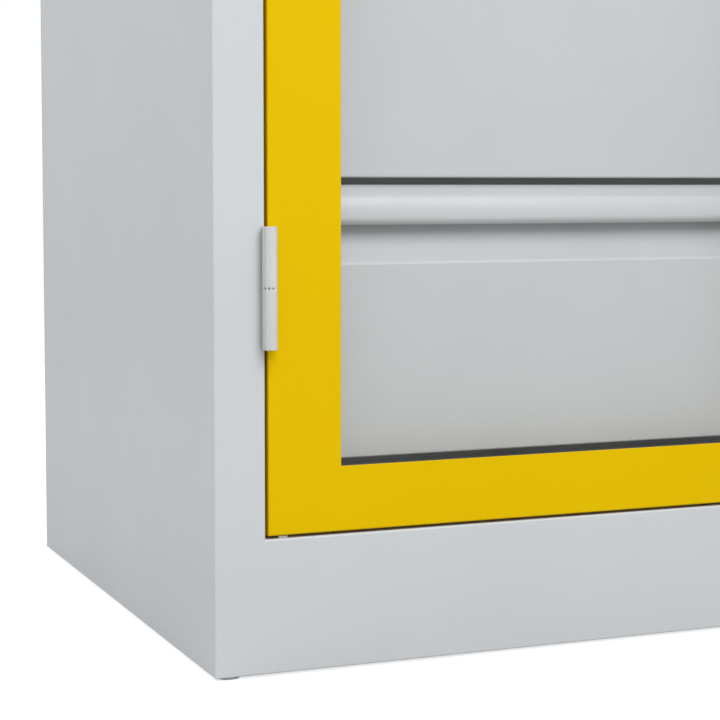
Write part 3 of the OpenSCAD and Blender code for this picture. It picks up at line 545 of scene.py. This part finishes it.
# %% Fold the side panels
def side_tray(low, high, outward):
    """A tray whose face is the side at outward (-1 left, 1 right). The rings are rectangles in
    depth and height, inset by the fold. The front edge isn't folded: it keeps a fortieth of
    the inset, a tenth of a millimetre, which is the burr that filing takes off."""
    flange, filed = 0.015, 0.025
    fold = bent([[FLAT, 0.0], [0.0, 0.0], [0.0, flange], [SHEET, flange], [SHEET, SHEET],
                 [FLAT, SHEET]], [0.00115, 0.0002, 0.0002, CUT_EDGE])
    inset, inwards = fold.T
    edges = np.array([low.y, high.y, low.z, high.z]) + inset[:, None] * np.array([filed, -1, 1, -1])
    face = high.x if outward > 0 else low.x
    return stacked("x", face - outward * inwards, rectangle_rings(edges))


for side, outward in (("left", -1), ("right", 1)):
    side_low, side_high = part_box(f"{side}_side_panel")
    add_piece(f"{side}_side_folded", [side_tray(side_low, side_high, outward)], body_paint,
              "cabinet", [f"{side}_side_panel"])

# %% Soft-edged plates and blocks
def soft_block(low, high, radius, steps=3):
    """A block with rounded edges: rounded rectangles one behind the other, eased at both ends."""
    shrink, along = eased(radius, steps)
    depth = np.concatenate([low[1] + along, [low[1] + radius + HOLD, high[1] - radius - HOLD],
                            (high[1] - along)[::-1]])
    shrink = np.concatenate([shrink, [0, 0], shrink[::-1]])
    edges = np.array([low[0], high[0], low[2], high[2]]) + shrink[:, None] * [1, -1, 1, -1]
    return stacked("y", depth, rectangle_rings(edges, radius, 4))


top_low, top_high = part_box("top_panel")
seam = 0.02
top_section = bent([[top_low.y + seam, top_low.z], [top_low.y, top_low.z], [top_low.y, top_high.z],
                    [top_high.y, top_high.z], [top_high.y, top_low.z], [top_high.y - seam, top_low.z]],
                   [0.0002, 0.0009, 0.0009, 0.0002])
add_piece("top_sheet", [carried_across(top_section, top_low.x, top_high.x, 0.0005)],
          body_paint, "cabinet", ["top_panel"])

# %% [markdown]
# ## The door
#
# The door is two sheets: a front pan folded back round its outer edge, and an inner frame
# whose edge is turned forward round the window. The pan's folds catch the light as two bright
# lines beside the dark gap, so their radius matters more than anything else on the door.

# %% Fold the door's two sheets
pane_low, pane_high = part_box("window_pane")
pane_lap, door_bend, seam_gap = 0.008, 0.0013, 0.0005
door_outer = [pan_low.x, pan_high.x, pan_low.z, pan_high.z]
window = [pane_low.x + pane_lap, pane_high.x - pane_lap, pane_low.z + pane_lap, pane_high.z - pane_lap]
pan_depth = pan_high.y - front_y
pan_fold = bent([[SHEET, pan_depth], [0.0, pan_depth], [0.0, 0.0], [FLAT, 0.0]], [0.0002, door_bend])
window_edge = bent([[-FLAT, 0.0], [0.0, 0.0], [0.0, SHEET], [-FLAT, SHEET]], [CUT_EDGE, CUT_EDGE])
pan_back = bent([[FLAT, SHEET], [SHEET, SHEET], [SHEET, pan_depth - seam_gap]], [CUT_EDGE])
pan_section = np.concatenate([on_outer(pan_fold), on_inner(window_edge), on_outer(pan_back)])
pan_piece = add_piece("door_pan_folded", [folded_frame(door_outer, window, pan_section, front_y)],
                      door_coat_and_gap_light, "door", ["door_pan"])

inner_low, inner_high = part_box("door_inner_frame")
inner_cut = 0.005
cut_edge = np.array(window) + inner_cut * np.array([-1, 1, -1, 1])
plate_back, plate_front = inner_high.y - front_y, inner_high.y - front_y - SHEET
turned_front = inner_low.y - front_y
outer_edge = bent([[FLAT, plate_front], [0.0, plate_front], [0.0, plate_back], [FLAT, plate_back]],
                  [0.0002, 0.0004])
turned_edge = bent([[-FLAT, plate_back], [0.0, plate_back], [0.0, turned_front],
                    [-SHEET, turned_front], [-SHEET, plate_front], [-FLAT, plate_front]],
                   [door_bend, CUT_EDGE, CUT_EDGE, CUT_EDGE])
inner_section = np.concatenate([on_outer(outer_edge), on_inner(turned_edge)])
add_piece("door_inner_folded", [folded_frame(door_outer, cut_edge, inner_section, front_y)],
          door_back_paint, "door", ["door_inner_frame"])

# %% The gasket round the pane
gasket_low, gasket_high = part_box("pane_gasket")
gasket_outer = [gasket_low.x, gasket_high.x, gasket_low.z, gasket_high.z]
pane_edge = [pane_low.x, pane_high.x, pane_low.z, pane_high.z]
seal_front, seal_back = gasket_low.y - front_y, gasket_high.y - front_y
pane_front, pane_back = pane_low.y - front_y, pane_high.y - front_y
seal_middle = (seal_front + seal_back) / 2
cheek, lap, root = 0.0045, 0.004, 0.00005
channel = np.concatenate([
    on_outer(bent([[0.0, seal_middle], [0.0, seal_front], [cheek, seal_front]], [0.0006])),
    on_inner(bent([[lap / 2, seal_front], [lap, seal_front], [lap, pane_front], [lap / 2, pane_front]],
                  [0.0002, 0.0002])),
    on_inner([[root, pane_front], [root, pane_back]]),
    on_inner(bent([[lap / 2, pane_back], [lap, pane_back], [lap, seal_back], [lap / 2, seal_back]],
                  [0.0003, 0.0005])),
    on_outer(bent([[cheek, seal_back], [0.0, seal_back], [0.0, seal_middle + seam_gap]], [0.0006]))])
add_piece("pane_gasket_channel", [folded_frame(gasket_outer, pane_edge, channel, front_y)],
          seal_rubber, "door", ["pane_gasket"])

# %% [markdown]
# ## The hinges
#
# Each hinge is a stout barrel with shallow flutes, in two halves that meet at the middle. A
# turned profile gives the barrel, and the flutes are a periodic dip of the radius with the
# angle. Where two flute ends meet, the real barrel shows a small dark notch, so the dip
# deepens there.

# %% Fluted barrels
def fluted_half(axis_x, axis_y, outer_z, meeting_z, radius, first_flute, flutes=10):
    """Half a barrel between its outer end and the end that meets the other half. The radius is
    the barrel's, less a shallow dip at each flute, a rounding at the outer end, and a deep
    narrow notch at each flute where the halves meet."""
    flute_depth, end_round, notch_depth, notch_reach = 0.00022, 0.0002, 0.0030, 0.0010
    length = abs(meeting_z - outer_z)
    down = np.array([0, 0.00005, 0.00012, 0.0003, 0.002, length / 2, length - 0.0016, length - 0.0012,
                     length - 0.0009, length - 0.0006, length - 0.0003, length])
    angle = np.linspace(0, 2 * math.pi, 240, endpoint=False)
    ripple = (1 + np.cos(flutes * (angle - first_flute))) / 2
    ending = np.clip(1 - down / 0.0003, 0, 1)
    notch = np.clip(1 - ((length - down) / notch_reach) ** 2, 0, 1)
    r = (radius - flute_depth * ripple[None] ** 2
         - end_round * (1 - np.sqrt(1 - ending[:, None] ** 2))
         - notch_depth * ripple[None] ** 4 * notch[:, None])
    z = outer_z + np.sign(meeting_z - outer_z) * down
    rings = np.stack([axis_x + r * np.cos(angle), axis_y + r * np.sin(angle),
                      np.broadcast_to(z[:, None], r.shape)], -1)
    return shell(rings)


hinge_radius = 0.0057
flute_place = math.radians(-8.0)
pin_low, pin_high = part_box("hinge_pins")
axis_x, axis_y = (pin_low.x + pin_high.x) / 2, (pin_low.y + pin_high.y) / 2
hinge_half = 0.045
hinge_middles = (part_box("frame_hinge_halves")[0].z + hinge_half,
                 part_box("door_hinge_halves")[1].z - hinge_half)
print("hinge axis", round(axis_x, 4), round(axis_y, 4), "middles", [round(v, 4) for v in hinge_middles])

# %% Both halves of both hinges
meeting_gap, hinge_pad, pad_round = 0.00006, 0.0036, 0.0004
pad_from, pad_to = pad_round, hinge_half - 0.0006
frame_shells, door_shells = [], []
for middle in hinge_middles:
    frame_shells += [
        fluted_half(axis_x, axis_y, middle - hinge_half, middle - meeting_gap, hinge_radius, flute_place),
        soft_block((axis_x - hinge_pad, axis_y, middle - pad_to),
                   (opening[0], front_y, middle - pad_from), pad_round)]
    door_shells += [
        fluted_half(axis_x, axis_y, middle + hinge_half, middle + meeting_gap, hinge_radius, flute_place),
        soft_block((pan_low.x, axis_y, middle + pad_from),
                   (axis_x + hinge_pad, front_y, middle + pad_to), pad_round)]
add_piece("hinge_frame_barrels", frame_shells, hinge_coat, "cabinet", ["frame_hinge_halves"])
add_piece("hinge_door_barrels", door_shells, hinge_coat, "door", ["door_hinge_halves"])

# %% [markdown]
# ## The drawer fronts
#
# A drawer front looks like one bent sheet: up the flat panel, back along a sloping recess,
# over the top and down a crowned nose to a turned-in lip, with a plate welded on each end.
# Under the paint it is a panel, a head behind the recess and a curled grip, so one outline
# could cover all three. The nose is an arc that leans back towards its top, and the lip a
# tighter arc that turns in under it. The outline runs up the face of the panel and under the
# grip to the lip, round it and up the outside of the nose, then down the back of the sheet.

# %% The section of a drawer front
nose_h, nose_out, nose_edge, nose_lean = 0.0252, 0.002, 0.0016, math.radians(35)
lip_h, lip_in, lip_chamfer, recess_h = 0.0061, 0.005, 0.0002, 0.0305
drawer_low, drawer_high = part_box("drawer_1_grip")
panel_y = drawer_low.y + nose_out
wall_y = drawer_high.y - SHEET
front_h = drawer_high.z - drawer_low.z
nose_r = (nose_h - nose_edge * (1 - math.sin(nose_lean))) / math.sin(nose_lean)
nose_z = front_h - nose_h
lip_z = nose_z - lip_h
nose_middle = np.array([drawer_low.y + nose_r, nose_z])
lip_middle = np.array([drawer_low.y + lip_h, nose_z])
top_angle = math.pi - nose_lean
edge_middle = nose_middle + (nose_r - nose_edge) * np.array([math.cos(top_angle), math.sin(top_angle)])


def arc(centre, radius, start, end, steps):
    """Points of an arc: centre plus radius times the cosine and sine of each angle."""
    angle = np.linspace(start, end, steps + 1)
    return centre + radius * np.stack([np.cos(angle), np.sin(angle)], -1)


def front_section():
    """The drawer front's outline, as depth and height above its lower edge."""
    slope = math.atan2(wall_y - panel_y, recess_h)
    rising = bent([[drawer_high.y, 0.0], [panel_y, 0.0], [panel_y, lip_z - recess_h], [wall_y, lip_z],
                   [wall_y, front_h - SHEET], [edge_middle[0] + 0.001, front_h - SHEET]],
                  [0.0015, 0.0018, 0.0008, 0.0004])
    inner_nose = np.concatenate([
        arc(edge_middle, nose_edge - SHEET, math.pi / 2, top_angle, 3),
        arc(nose_middle, nose_r - SHEET, top_angle + 0.01, math.pi - 0.02, 14)])
    inner_lip = arc(lip_middle, lip_h - SHEET, math.pi + 0.02, 1.5 * math.pi, 8)
    lip_end = panel_y + lip_in
    lip_edge = [[lip_end - lip_chamfer, lip_z + SHEET], [lip_end, lip_z + SHEET - lip_chamfer],
                [lip_end, lip_z + lip_chamfer], [lip_end - lip_chamfer, lip_z]]
    outer_lip = arc(lip_middle, lip_h, 1.5 * math.pi, math.pi, 12)
    outer_nose = arc(nose_middle, nose_r, math.pi - 0.03, top_angle + 0.001, 16)
    outer_edge = arc(edge_middle, nose_edge, top_angle, math.pi / 2, 5)
    top_back = [[drawer_high.y - 0.0015, front_h], [drawer_high.y - 0.0004, front_h - 0.0002],
                [drawer_high.y, front_h - 0.0015]]
    miter = SHEET * math.tan(slope / 2)
    falling = bent([[drawer_high.y, front_h - 0.002], [drawer_high.y, lip_z - miter],
                    [panel_y + SHEET, lip_z - recess_h - miter], [panel_y + SHEET, SHEET],
                    [drawer_high.y, SHEET]], [0.0018, 0.0008, 0.0004])
    return np.concatenate([rising, inner_nose, inner_lip, lip_edge, outer_lip, outer_nose,
                           outer_edge, top_back, falling])


drawer_section = front_section()
print("drawer front section:", len(drawer_section), "points, nose radius", round(nose_r, 4))

# %% The plates on a drawer front's ends
def end_outline():
    """The silhouette of a drawer front: up the back, over the top, down the nose and straight
    down the panel."""
    return np.concatenate([
        [[drawer_high.y, 0.0], [drawer_high.y, front_h - 0.0001]],
        arc(edge_middle, nose_edge - 0.0001, math.pi / 2, top_angle, 4),
        arc(nose_middle, nose_r, top_angle + 0.01, math.pi, 14),
        [[panel_y, lip_z + 0.003], [panel_y, 0.0]]])


def drawer_front(lower_edge):
    """The sheet, its two end plates, the folded edges behind them and the upturned lower edge."""
    side_fold, lower_fold, end_gap, soft = 0.025, 0.012, 0.0002, 0.0003
    ends = end_outline() + [0.0, lower_edge]
    x0, x1 = drawer_low.x, drawer_high.x
    shells = [carried_across(drawer_section + [0.0, lower_edge], x0 + end_gap, x1 - end_gap)]
    for a, b in ((x0, x0 + SHEET), (x1 - SHEET, x1)):
        shells.append(carried_across(ends, a, b, soft))
    for a, b, height in ((x0, x0 + side_fold, lip_z), (x1 - side_fold, x1, lip_z), (x0, x1, lower_fold)):
        shells.append(soft_block((a, wall_y, lower_edge), (b, drawer_high.y, lower_edge + height), soft))
    return shells


drawers = (1, 2, 3)
for n in drawers:
    low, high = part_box(f"drawer_{n}_grip")
    add_piece(f"drawer_{n}_front_folded", drawer_front(low.z), drawer_coat_and_shade, f"drawer_{n}",
              [f"drawer_{n}_front", f"drawer_{n}_head", f"drawer_{n}_grip"], crease=30.0)

# %% [markdown]
# ## Feet and screws
#
# These are all turned shapes, so one function does them: a profile of radius and height spun
# round its axis. The foot is a moulded disc on a threaded stem, and the screws are pan heads
# with a six-lobed socket, which is a dip whose edge wavers with the angle.

# %% Turned pieces
def turned(profile, centre, axis="z", count=48, lobes=0.0):
    """A profile of radius and height spun round an axis through centre. lobes makes the radius
    of each row waver by that share, six times round."""
    radius, height = np.asarray(profile, float).T
    angle = np.linspace(0, 2 * math.pi, count, endpoint=False)
    lobes = np.broadcast_to(lobes, radius.shape)
    radius = radius[:, None] * (1 + lobes[:, None] * np.cos(6 * angle))
    a = radius * np.cos(angle)
    b = radius * np.sin(angle)
    h = np.broadcast_to(height[:, None], a.shape)
    order = {"z": (a, b, h), "y": (a, h, b), "-y": (a, -h, b)}[axis]
    return shell(np.stack(order, -1) + np.asarray(centre, float))


feet_low, feet_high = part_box("levelling_feet")
foot_r, stem_r, disc_h = 0.010, 0.004, 0.005
foot_profile = bent([[0.0005, 0.0], [foot_r - 0.001, 0.0], [foot_r, 0.0012], [foot_r, disc_h - 0.001],
                     [stem_r + 0.0015, disc_h], [stem_r, disc_h + 0.002]],
                    [0.0004, 0.0008, 0.0009, 0.0006])
thread_pitch, thread_depth = 0.00125, 0.00045
thread_z = np.linspace(disc_h + 2 * thread_pitch, feet_high.z - 0.0006, 180)
ridge = np.abs(((thread_z / thread_pitch) % 1.0) * 2 - 1)
thread = np.stack([stem_r - thread_depth * ridge, thread_z], -1)
foot_profile = np.concatenate([foot_profile, thread, [[0.0005, feet_high.z]]])
foot_places = [(x, y) for x in (feet_low.x + foot_r, feet_high.x - foot_r)
               for y in (feet_low.y + foot_r, feet_high.y - foot_r)]
add_piece("foot_discs", [turned(foot_profile, (x, y, 0.0)) for x, y in foot_places],
          pale_plastic, "cabinet", ["levelling_feet"])

# %% Screws with a six-lobed socket
head_r, head_h, shank_r = 0.0035, 0.0016, 0.002


def lobed_screw(centre, axis, length):
    """A pan-head screw. Height runs from the head's seat: the shank lies below it, the head
    above, and the last rows go down into a socket whose wall wavers six times round."""
    rows = np.array([
        [0.0004, -length, 0], [shank_r - 0.0004, -length, 0], [shank_r, -length + 0.0004, 0],
        [shank_r, 0, 0], [head_r - 0.0001, 0, 0], [head_r, 0.0001, 0], [head_r, 0.45 * head_h, 0],
        [0.93 * head_r, 0.75 * head_h, 0], [0.80 * head_r, 0.93 * head_h, 0],
        [0.62 * head_r, head_h, 0], [0.47 * head_r, head_h, 0.06], [0.43 * head_r, 0.96 * head_h, 0.13],
        [0.41 * head_r, 0.2 * head_h, 0.13], [0.0003, 0.1 * head_h, 0]])
    return turned(rows[:, :2], centre, axis, lobes=rows[:, 2])


def screws_of(node, places, axis):
    """Screws at places of x and z, with their heads at the node's outer face."""
    low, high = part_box(node)
    seat = high.y - head_h if axis == "y" else low.y + head_h
    length = high.y - low.y - head_h
    return [lobed_screw((x, seat, z), axis, length) for x, z in places]


low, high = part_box("back_screws")
places = [(x, z) for x in (low.x + head_r, high.x - head_r)
          for z in np.linspace(low.z + head_r, high.z - head_r, 4)]
add_piece("back_screw_heads", screws_of("back_screws", places, "y"), zinc, "cabinet", ["back_screws"])
low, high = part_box("handle_plate_screws")
places = [((low.x + high.x) / 2, z) for z in (low.z + head_r, high.z - head_r)]
add_piece("plate_screw_heads", screws_of("handle_plate_screws", places, "-y"), zinc, "door",
          ["handle_plate_screws"])

# %% [markdown]
# ## Holes for the lock rods
#
# Two rods run up and down inside the door and lock into the rails. They leave the door through
# close holes in its folds and enter wider ones in the frame. A round hole across a fold isn't
# part of any ring, so it is bored afterwards, as on the real sheets: a cylinder is taken away
# from the finished piece.

# %% Bore the holes
def bore(piece, holes):
    """Takes upright cylinders away from a piece. Each hole is x, y, its radius and its ends."""
    drill = mesh_object("drill", [turned([[radius, z0], [radius, z1]], (x, y, 0.0))
                                  for x, y, radius, z0, z1 in holes])
    drill_mesh = drill.data
    cut = piece.modifiers.new("bore", "BOOLEAN")
    cut.operation, cut.solver, cut.object = "DIFFERENCE", "EXACT", drill
    whole = piece.data
    graph = bpy.context.evaluated_depsgraph_get()
    piece.data = bpy.data.meshes.new_from_object(piece.evaluated_get(graph))
    piece.modifiers.clear()
    smooth_but_creased(piece.data, CREASE)
    bpy.data.objects.remove(drill)
    bpy.data.meshes.remove(drill_mesh)
    print(f"{piece.name}: {len(whole.polygons)} faces whole, {len(piece.data.polygons)} bored")
    bpy.data.meshes.remove(whole)


upper_low, upper_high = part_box("upper_rod")
lower_low, lower_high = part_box("lower_rod")
rod_r, rod_play, keeper_r, through = (upper_high.y - upper_low.y) / 2, 0.0002, 0.0055, 0.001
rod_y = upper_high.y - rod_r
upper_x, lower_x = upper_high.x - rod_r, lower_low.x + rod_r
bore(pan_piece, [
    (upper_x, rod_y, rod_r + rod_play, pan_high.z - SHEET - through, pan_high.z + through),
    (lower_x, rod_y, rod_r + rod_play, pan_low.z - through, pan_low.z + SHEET + through)])
bore(frame_piece, [
    (upper_x, rod_y, keeper_r, opening[3] - through, opening[3] + SHEET + through),
    (lower_x, rod_y, keeper_r, opening[2] - SHEET - through, opening[2] + through)])

# %% [markdown]
# ## The wing knob
#
# The door is locked by a black moulded knob: a round base and a wing for finger and thumb.
# The wing could be carved from a block, but a moulding is easier to read as a stack of stadium
# outlines. Their width draws in at the waist, where the fingers hold, and the last few shrink
# quickly, which rounds the top.

# %% Mould the knob
def stadium_stack(centre_x, centre_z, heights, half_widths, half_lengths, count=64):
    """Rings of a stadium outline, one above the other towards -Y. Each is a circle of half the
    width whose upper and lower halves are drawn apart to the full length."""
    angle = (np.arange(count) + 0.5) * 2 * math.pi / count
    wide, long = np.asarray(half_widths, float)[:, None], np.asarray(half_lengths, float)[:, None]
    x = centre_x + wide * np.cos(angle)
    z = centre_z + wide * np.sin(angle) + np.sign(np.sin(angle)) * (long - wide)
    return stacked("y", heights, np.stack([x, z], -1))


knob_low, knob_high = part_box("handle_knob")
knob_x, knob_z = (knob_low.x + knob_high.x) / 2, (knob_low.z + knob_high.z) / 2
base_r, base_h = (knob_high.x - knob_low.x) / 2, 0.009
base_profile = bent([[0.0005, 0.0], [base_r - 0.0006, 0.0], [base_r, 0.0012],
                     [base_r - 0.0004, base_h - 0.002], [base_r - 0.0035, base_h], [0.0005, base_h]],
                    [0.0003, 0.0006, 0.0008, 0.0012])
rise = np.array([-0.02, 0.0, 0.03, 0.08, 0.2, 0.35, 0.5, 0.65, 0.8, 0.88, 0.93, 0.965, 0.99, 1.0])
wide = np.array([5.4, 5.4, 5.9, 6.0, 5.75, 5.4, 5.2, 5.25, 5.55, 5.7, 5.6, 5.2, 4.4, 3.4]) / 1000
long = np.array([22.2, 22.2, 22.7, 23.0, 22.9, 22.7, 22.6, 22.7, 22.9, 22.8, 22.5, 22.0, 21.2, 20.2]) / 1000
wing_foot = knob_high.y - base_h
wing_depth = wing_foot - (wing_foot - knob_low.y) * rise
add_piece("handle_knob_moulded",
          [turned(base_profile, (knob_x, knob_high.y, knob_z), "-y", 96),
           stadium_stack(knob_x, knob_z, wing_depth, wide, long)],
          black_plastic, "handle", ["handle_knob"], crease=50.0)

# %% [markdown]
# ## What the measured model already gives
#
# The inner carcass, trays, runners and lock parts are plain folded or turned steel, and the
# measured solids have their true shapes. They keep their meshes. A weld closes their loose
# triangles and a small bevel takes the razor edge off, so that edges catch light.

# %% Finish the measured pieces
def dress(node, material, edge=0.0):
    """Gives a CAD node its finish and, with edge, a bevelled edge of that width."""
    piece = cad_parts[node]
    piece.data.materials.clear()
    piece.data.materials.append(material)
    if edge:
        weld = piece.modifiers.new("weld", "WELD")
        weld.merge_threshold = 0.000005
        soften = piece.modifiers.new("soften", "BEVEL")
        soften.width = edge
        soften.segments = 2
        soften.limit_method = "ANGLE"
        soften.angle_limit = math.radians(40)


rails = [f"drawer_{n}_{part}_rails" for n in drawers for part in ("outer", "middle", "inner")]
finishes = [
    (body_paint, 0.0, ["bottom_panel", "back_panel"]),
    (carcass_coat_and_gap_shade, 0.0003, ["bay_left_wall", "bay_right_wall", "bay_floor", "bay_ceiling",
                           "bay_cross_rails"]),
    (drawer_coat_and_shade, 0.0003, [f"drawer_{n}_tray" for n in drawers]),
    (zinc, 0.0, ["foot_nuts", "hinge_pins", "handle_spindle", "lock_pinion"]),
    (zinc, 0.0002, ["lock_core"] + rails),
    (zinc, 0.0003, ["lock_barrel", "lock_cam", "upper_rod", "lower_rod"]
     + [f"drawer_{n}_screws" for n in drawers]),
    (zinc, 0.0004, ["foot_plates", "lock_case"]),
    (black_plastic, 0.0004, ["rod_guides"]),
    (black_plastic, 0.0007, ["handle_plate"]),
    (pale_plastic, 0.0005, ["door_glide"]),
    (seal_rubber, 0.0006, ["door_buffers"]),
    (pane_clear, 0.0, ["window_pane"])]
for material, edge, nodes in finishes:
    for node in nodes:
        dress(node, material, edge)
print("dressed", sum(len(nodes) for _, _, nodes in finishes), "measured pieces")

# %% [markdown]
# ## Floor, room and lamps
#
# The picture was taken against white, with light so even that nothing throws a hard shadow.
# White paper all round would do it, but then each glossy side would mirror a bright floor. So
# the floor and the room are white only to the camera and through the pane, and duller to the
# light that they throw and to the gloss. A large high lamp in front draws the folds and throws
# the hinge's soft shadow to its left. A weak low one lifts what it shades, two more light the
# left side and the back, and a small card gives each grip its bright band.

# %% Shaders that only some rays see
def only_shader(tree, kind, **values):
    """A shader node with the values named set on its sockets. Returns its output."""
    node = tree.nodes.new(kind)
    for socket, value in values.items():
        node.inputs[socket].default_value = value
    return node.outputs[0]


def shown_to(tree, kinds, special, plain):
    """The shader special for the kinds of ray named, and plain for all others."""
    path = tree.nodes.new("ShaderNodeLightPath")
    share = path.outputs[kinds[0]]
    for kind in kinds[1:]:
        either = tree.nodes.new("ShaderNodeMath")
        either.operation = "MAXIMUM"
        tree.links.new(share, either.inputs[0])
        tree.links.new(path.outputs[kind], either.inputs[1])
        share = either.outputs[0]
    mix = tree.nodes.new("ShaderNodeMixShader")
    tree.links.new(share, mix.inputs["Fac"])
    tree.links.new(plain, mix.inputs[1])
    tree.links.new(special, mix.inputs[2])
    return mix.outputs[0]


def grey(value):
    """A neutral colour for a socket."""
    return (value, value, value, 1.0)


to_the_eye = ("Is Camera Ray", "Is Transmission Ray")
print("white is for", to_the_eye)

# %% The floor
half = 2.2
corners = np.array([[-half, -half, 0], [half, -half, 0], [half, half, 0], [-half, half, 0]])
floor = mesh_object("floor", [(corners, [[0, 1, 2, 3]])])
floor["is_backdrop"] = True
floor_paint = bpy.data.materials.new("floor_pale")
floor_paint.use_nodes = True
tree = floor_paint.node_tree
tree.nodes.clear()
output = tree.nodes.new("ShaderNodeOutputMaterial")
paper = tree.nodes.new("ShaderNodeAddShader")
tree.links.new(only_shader(tree, "ShaderNodeBsdfDiffuse", Color=grey(0.32)), paper.inputs[0])
tree.links.new(only_shader(tree, "ShaderNodeEmission", Strength=0.76), paper.inputs[1])
pale = only_shader(tree, "ShaderNodeBsdfDiffuse", Color=grey(0.36))
tree.links.new(shown_to(tree, to_the_eye, paper.outputs[0], pale), output.inputs["Surface"])
floor.data.materials.append(floor_paint)
print("floor of", tuple(round(v, 1) for v in floor.dimensions))

# %% The room
world = bpy.data.worlds.new("room")
world.use_nodes = True
bpy.context.scene.world = world
tree = world.node_tree
tree.nodes.clear()
output = tree.nodes.new("ShaderNodeOutputWorld")
lit, mirrored, white = (only_shader(tree, "ShaderNodeBackground", Color=grey(1.0), Strength=strength)
                        for strength in (0.46, 0.3, 1.0))
room = shown_to(tree, ("Is Glossy Ray",), mirrored, lit)
tree.links.new(shown_to(tree, to_the_eye, white, room), output.inputs["Surface"])
print("room has", len(tree.nodes), "nodes")

# %% The lamps
def soft_lamp(name, place, target, size, power, is_card=False):
    """A square lamp of size metres at place, aimed at target. A lamp throws light and stays
    out of the gloss. A card is only seen in the gloss."""
    data = bpy.data.lights.new(name, "AREA")
    data.size = size
    data.energy = power
    lamp = bpy.data.objects.new(name, data)
    bpy.context.scene.collection.objects.link(lamp)
    back = np.array(place, float) - np.array(target, float)
    back /= np.linalg.norm(back)
    right = np.cross((0, 0, 1), back)
    right /= np.linalg.norm(right)
    stand(lamp, place, right, np.cross(back, right), back)
    lamp.visible_glossy = is_card
    lamp.visible_diffuse = not is_card
    print(f"{name}: {power} W, {size} m square")


soft_lamp("key_lamp", (0.16, -2.50, 2.82), (0, -0.26, 0.4), 2.6, 92)
soft_lamp("side_lamp", (-2.6, 0.9, 2.6), (-0.3, 0, 0.4), 1.6, 71)
soft_lamp("low_lamp", (0.0, -1.9, 0.25), (0.0, -0.26, 0.35), 0.9, 3.4)
soft_lamp("fill_lamp", (2.4, 1.9, 1.9), (0.2, 0, 0.4), 1.6, 42)
soft_lamp("gloss_card", (0.81, -2.2, 1.65), (0, -0.21, 0.35), 0.8, 12, is_card=True)

# %% [markdown]
# ## The size of the scene
#
# The new surfaces must stay inside the measured box, so the scene's box is printed at the end.

# %% Write the sizes and finish
low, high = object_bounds()
print("scene box", [round(v, 4) for v in low], [round(v, 4) for v in high])
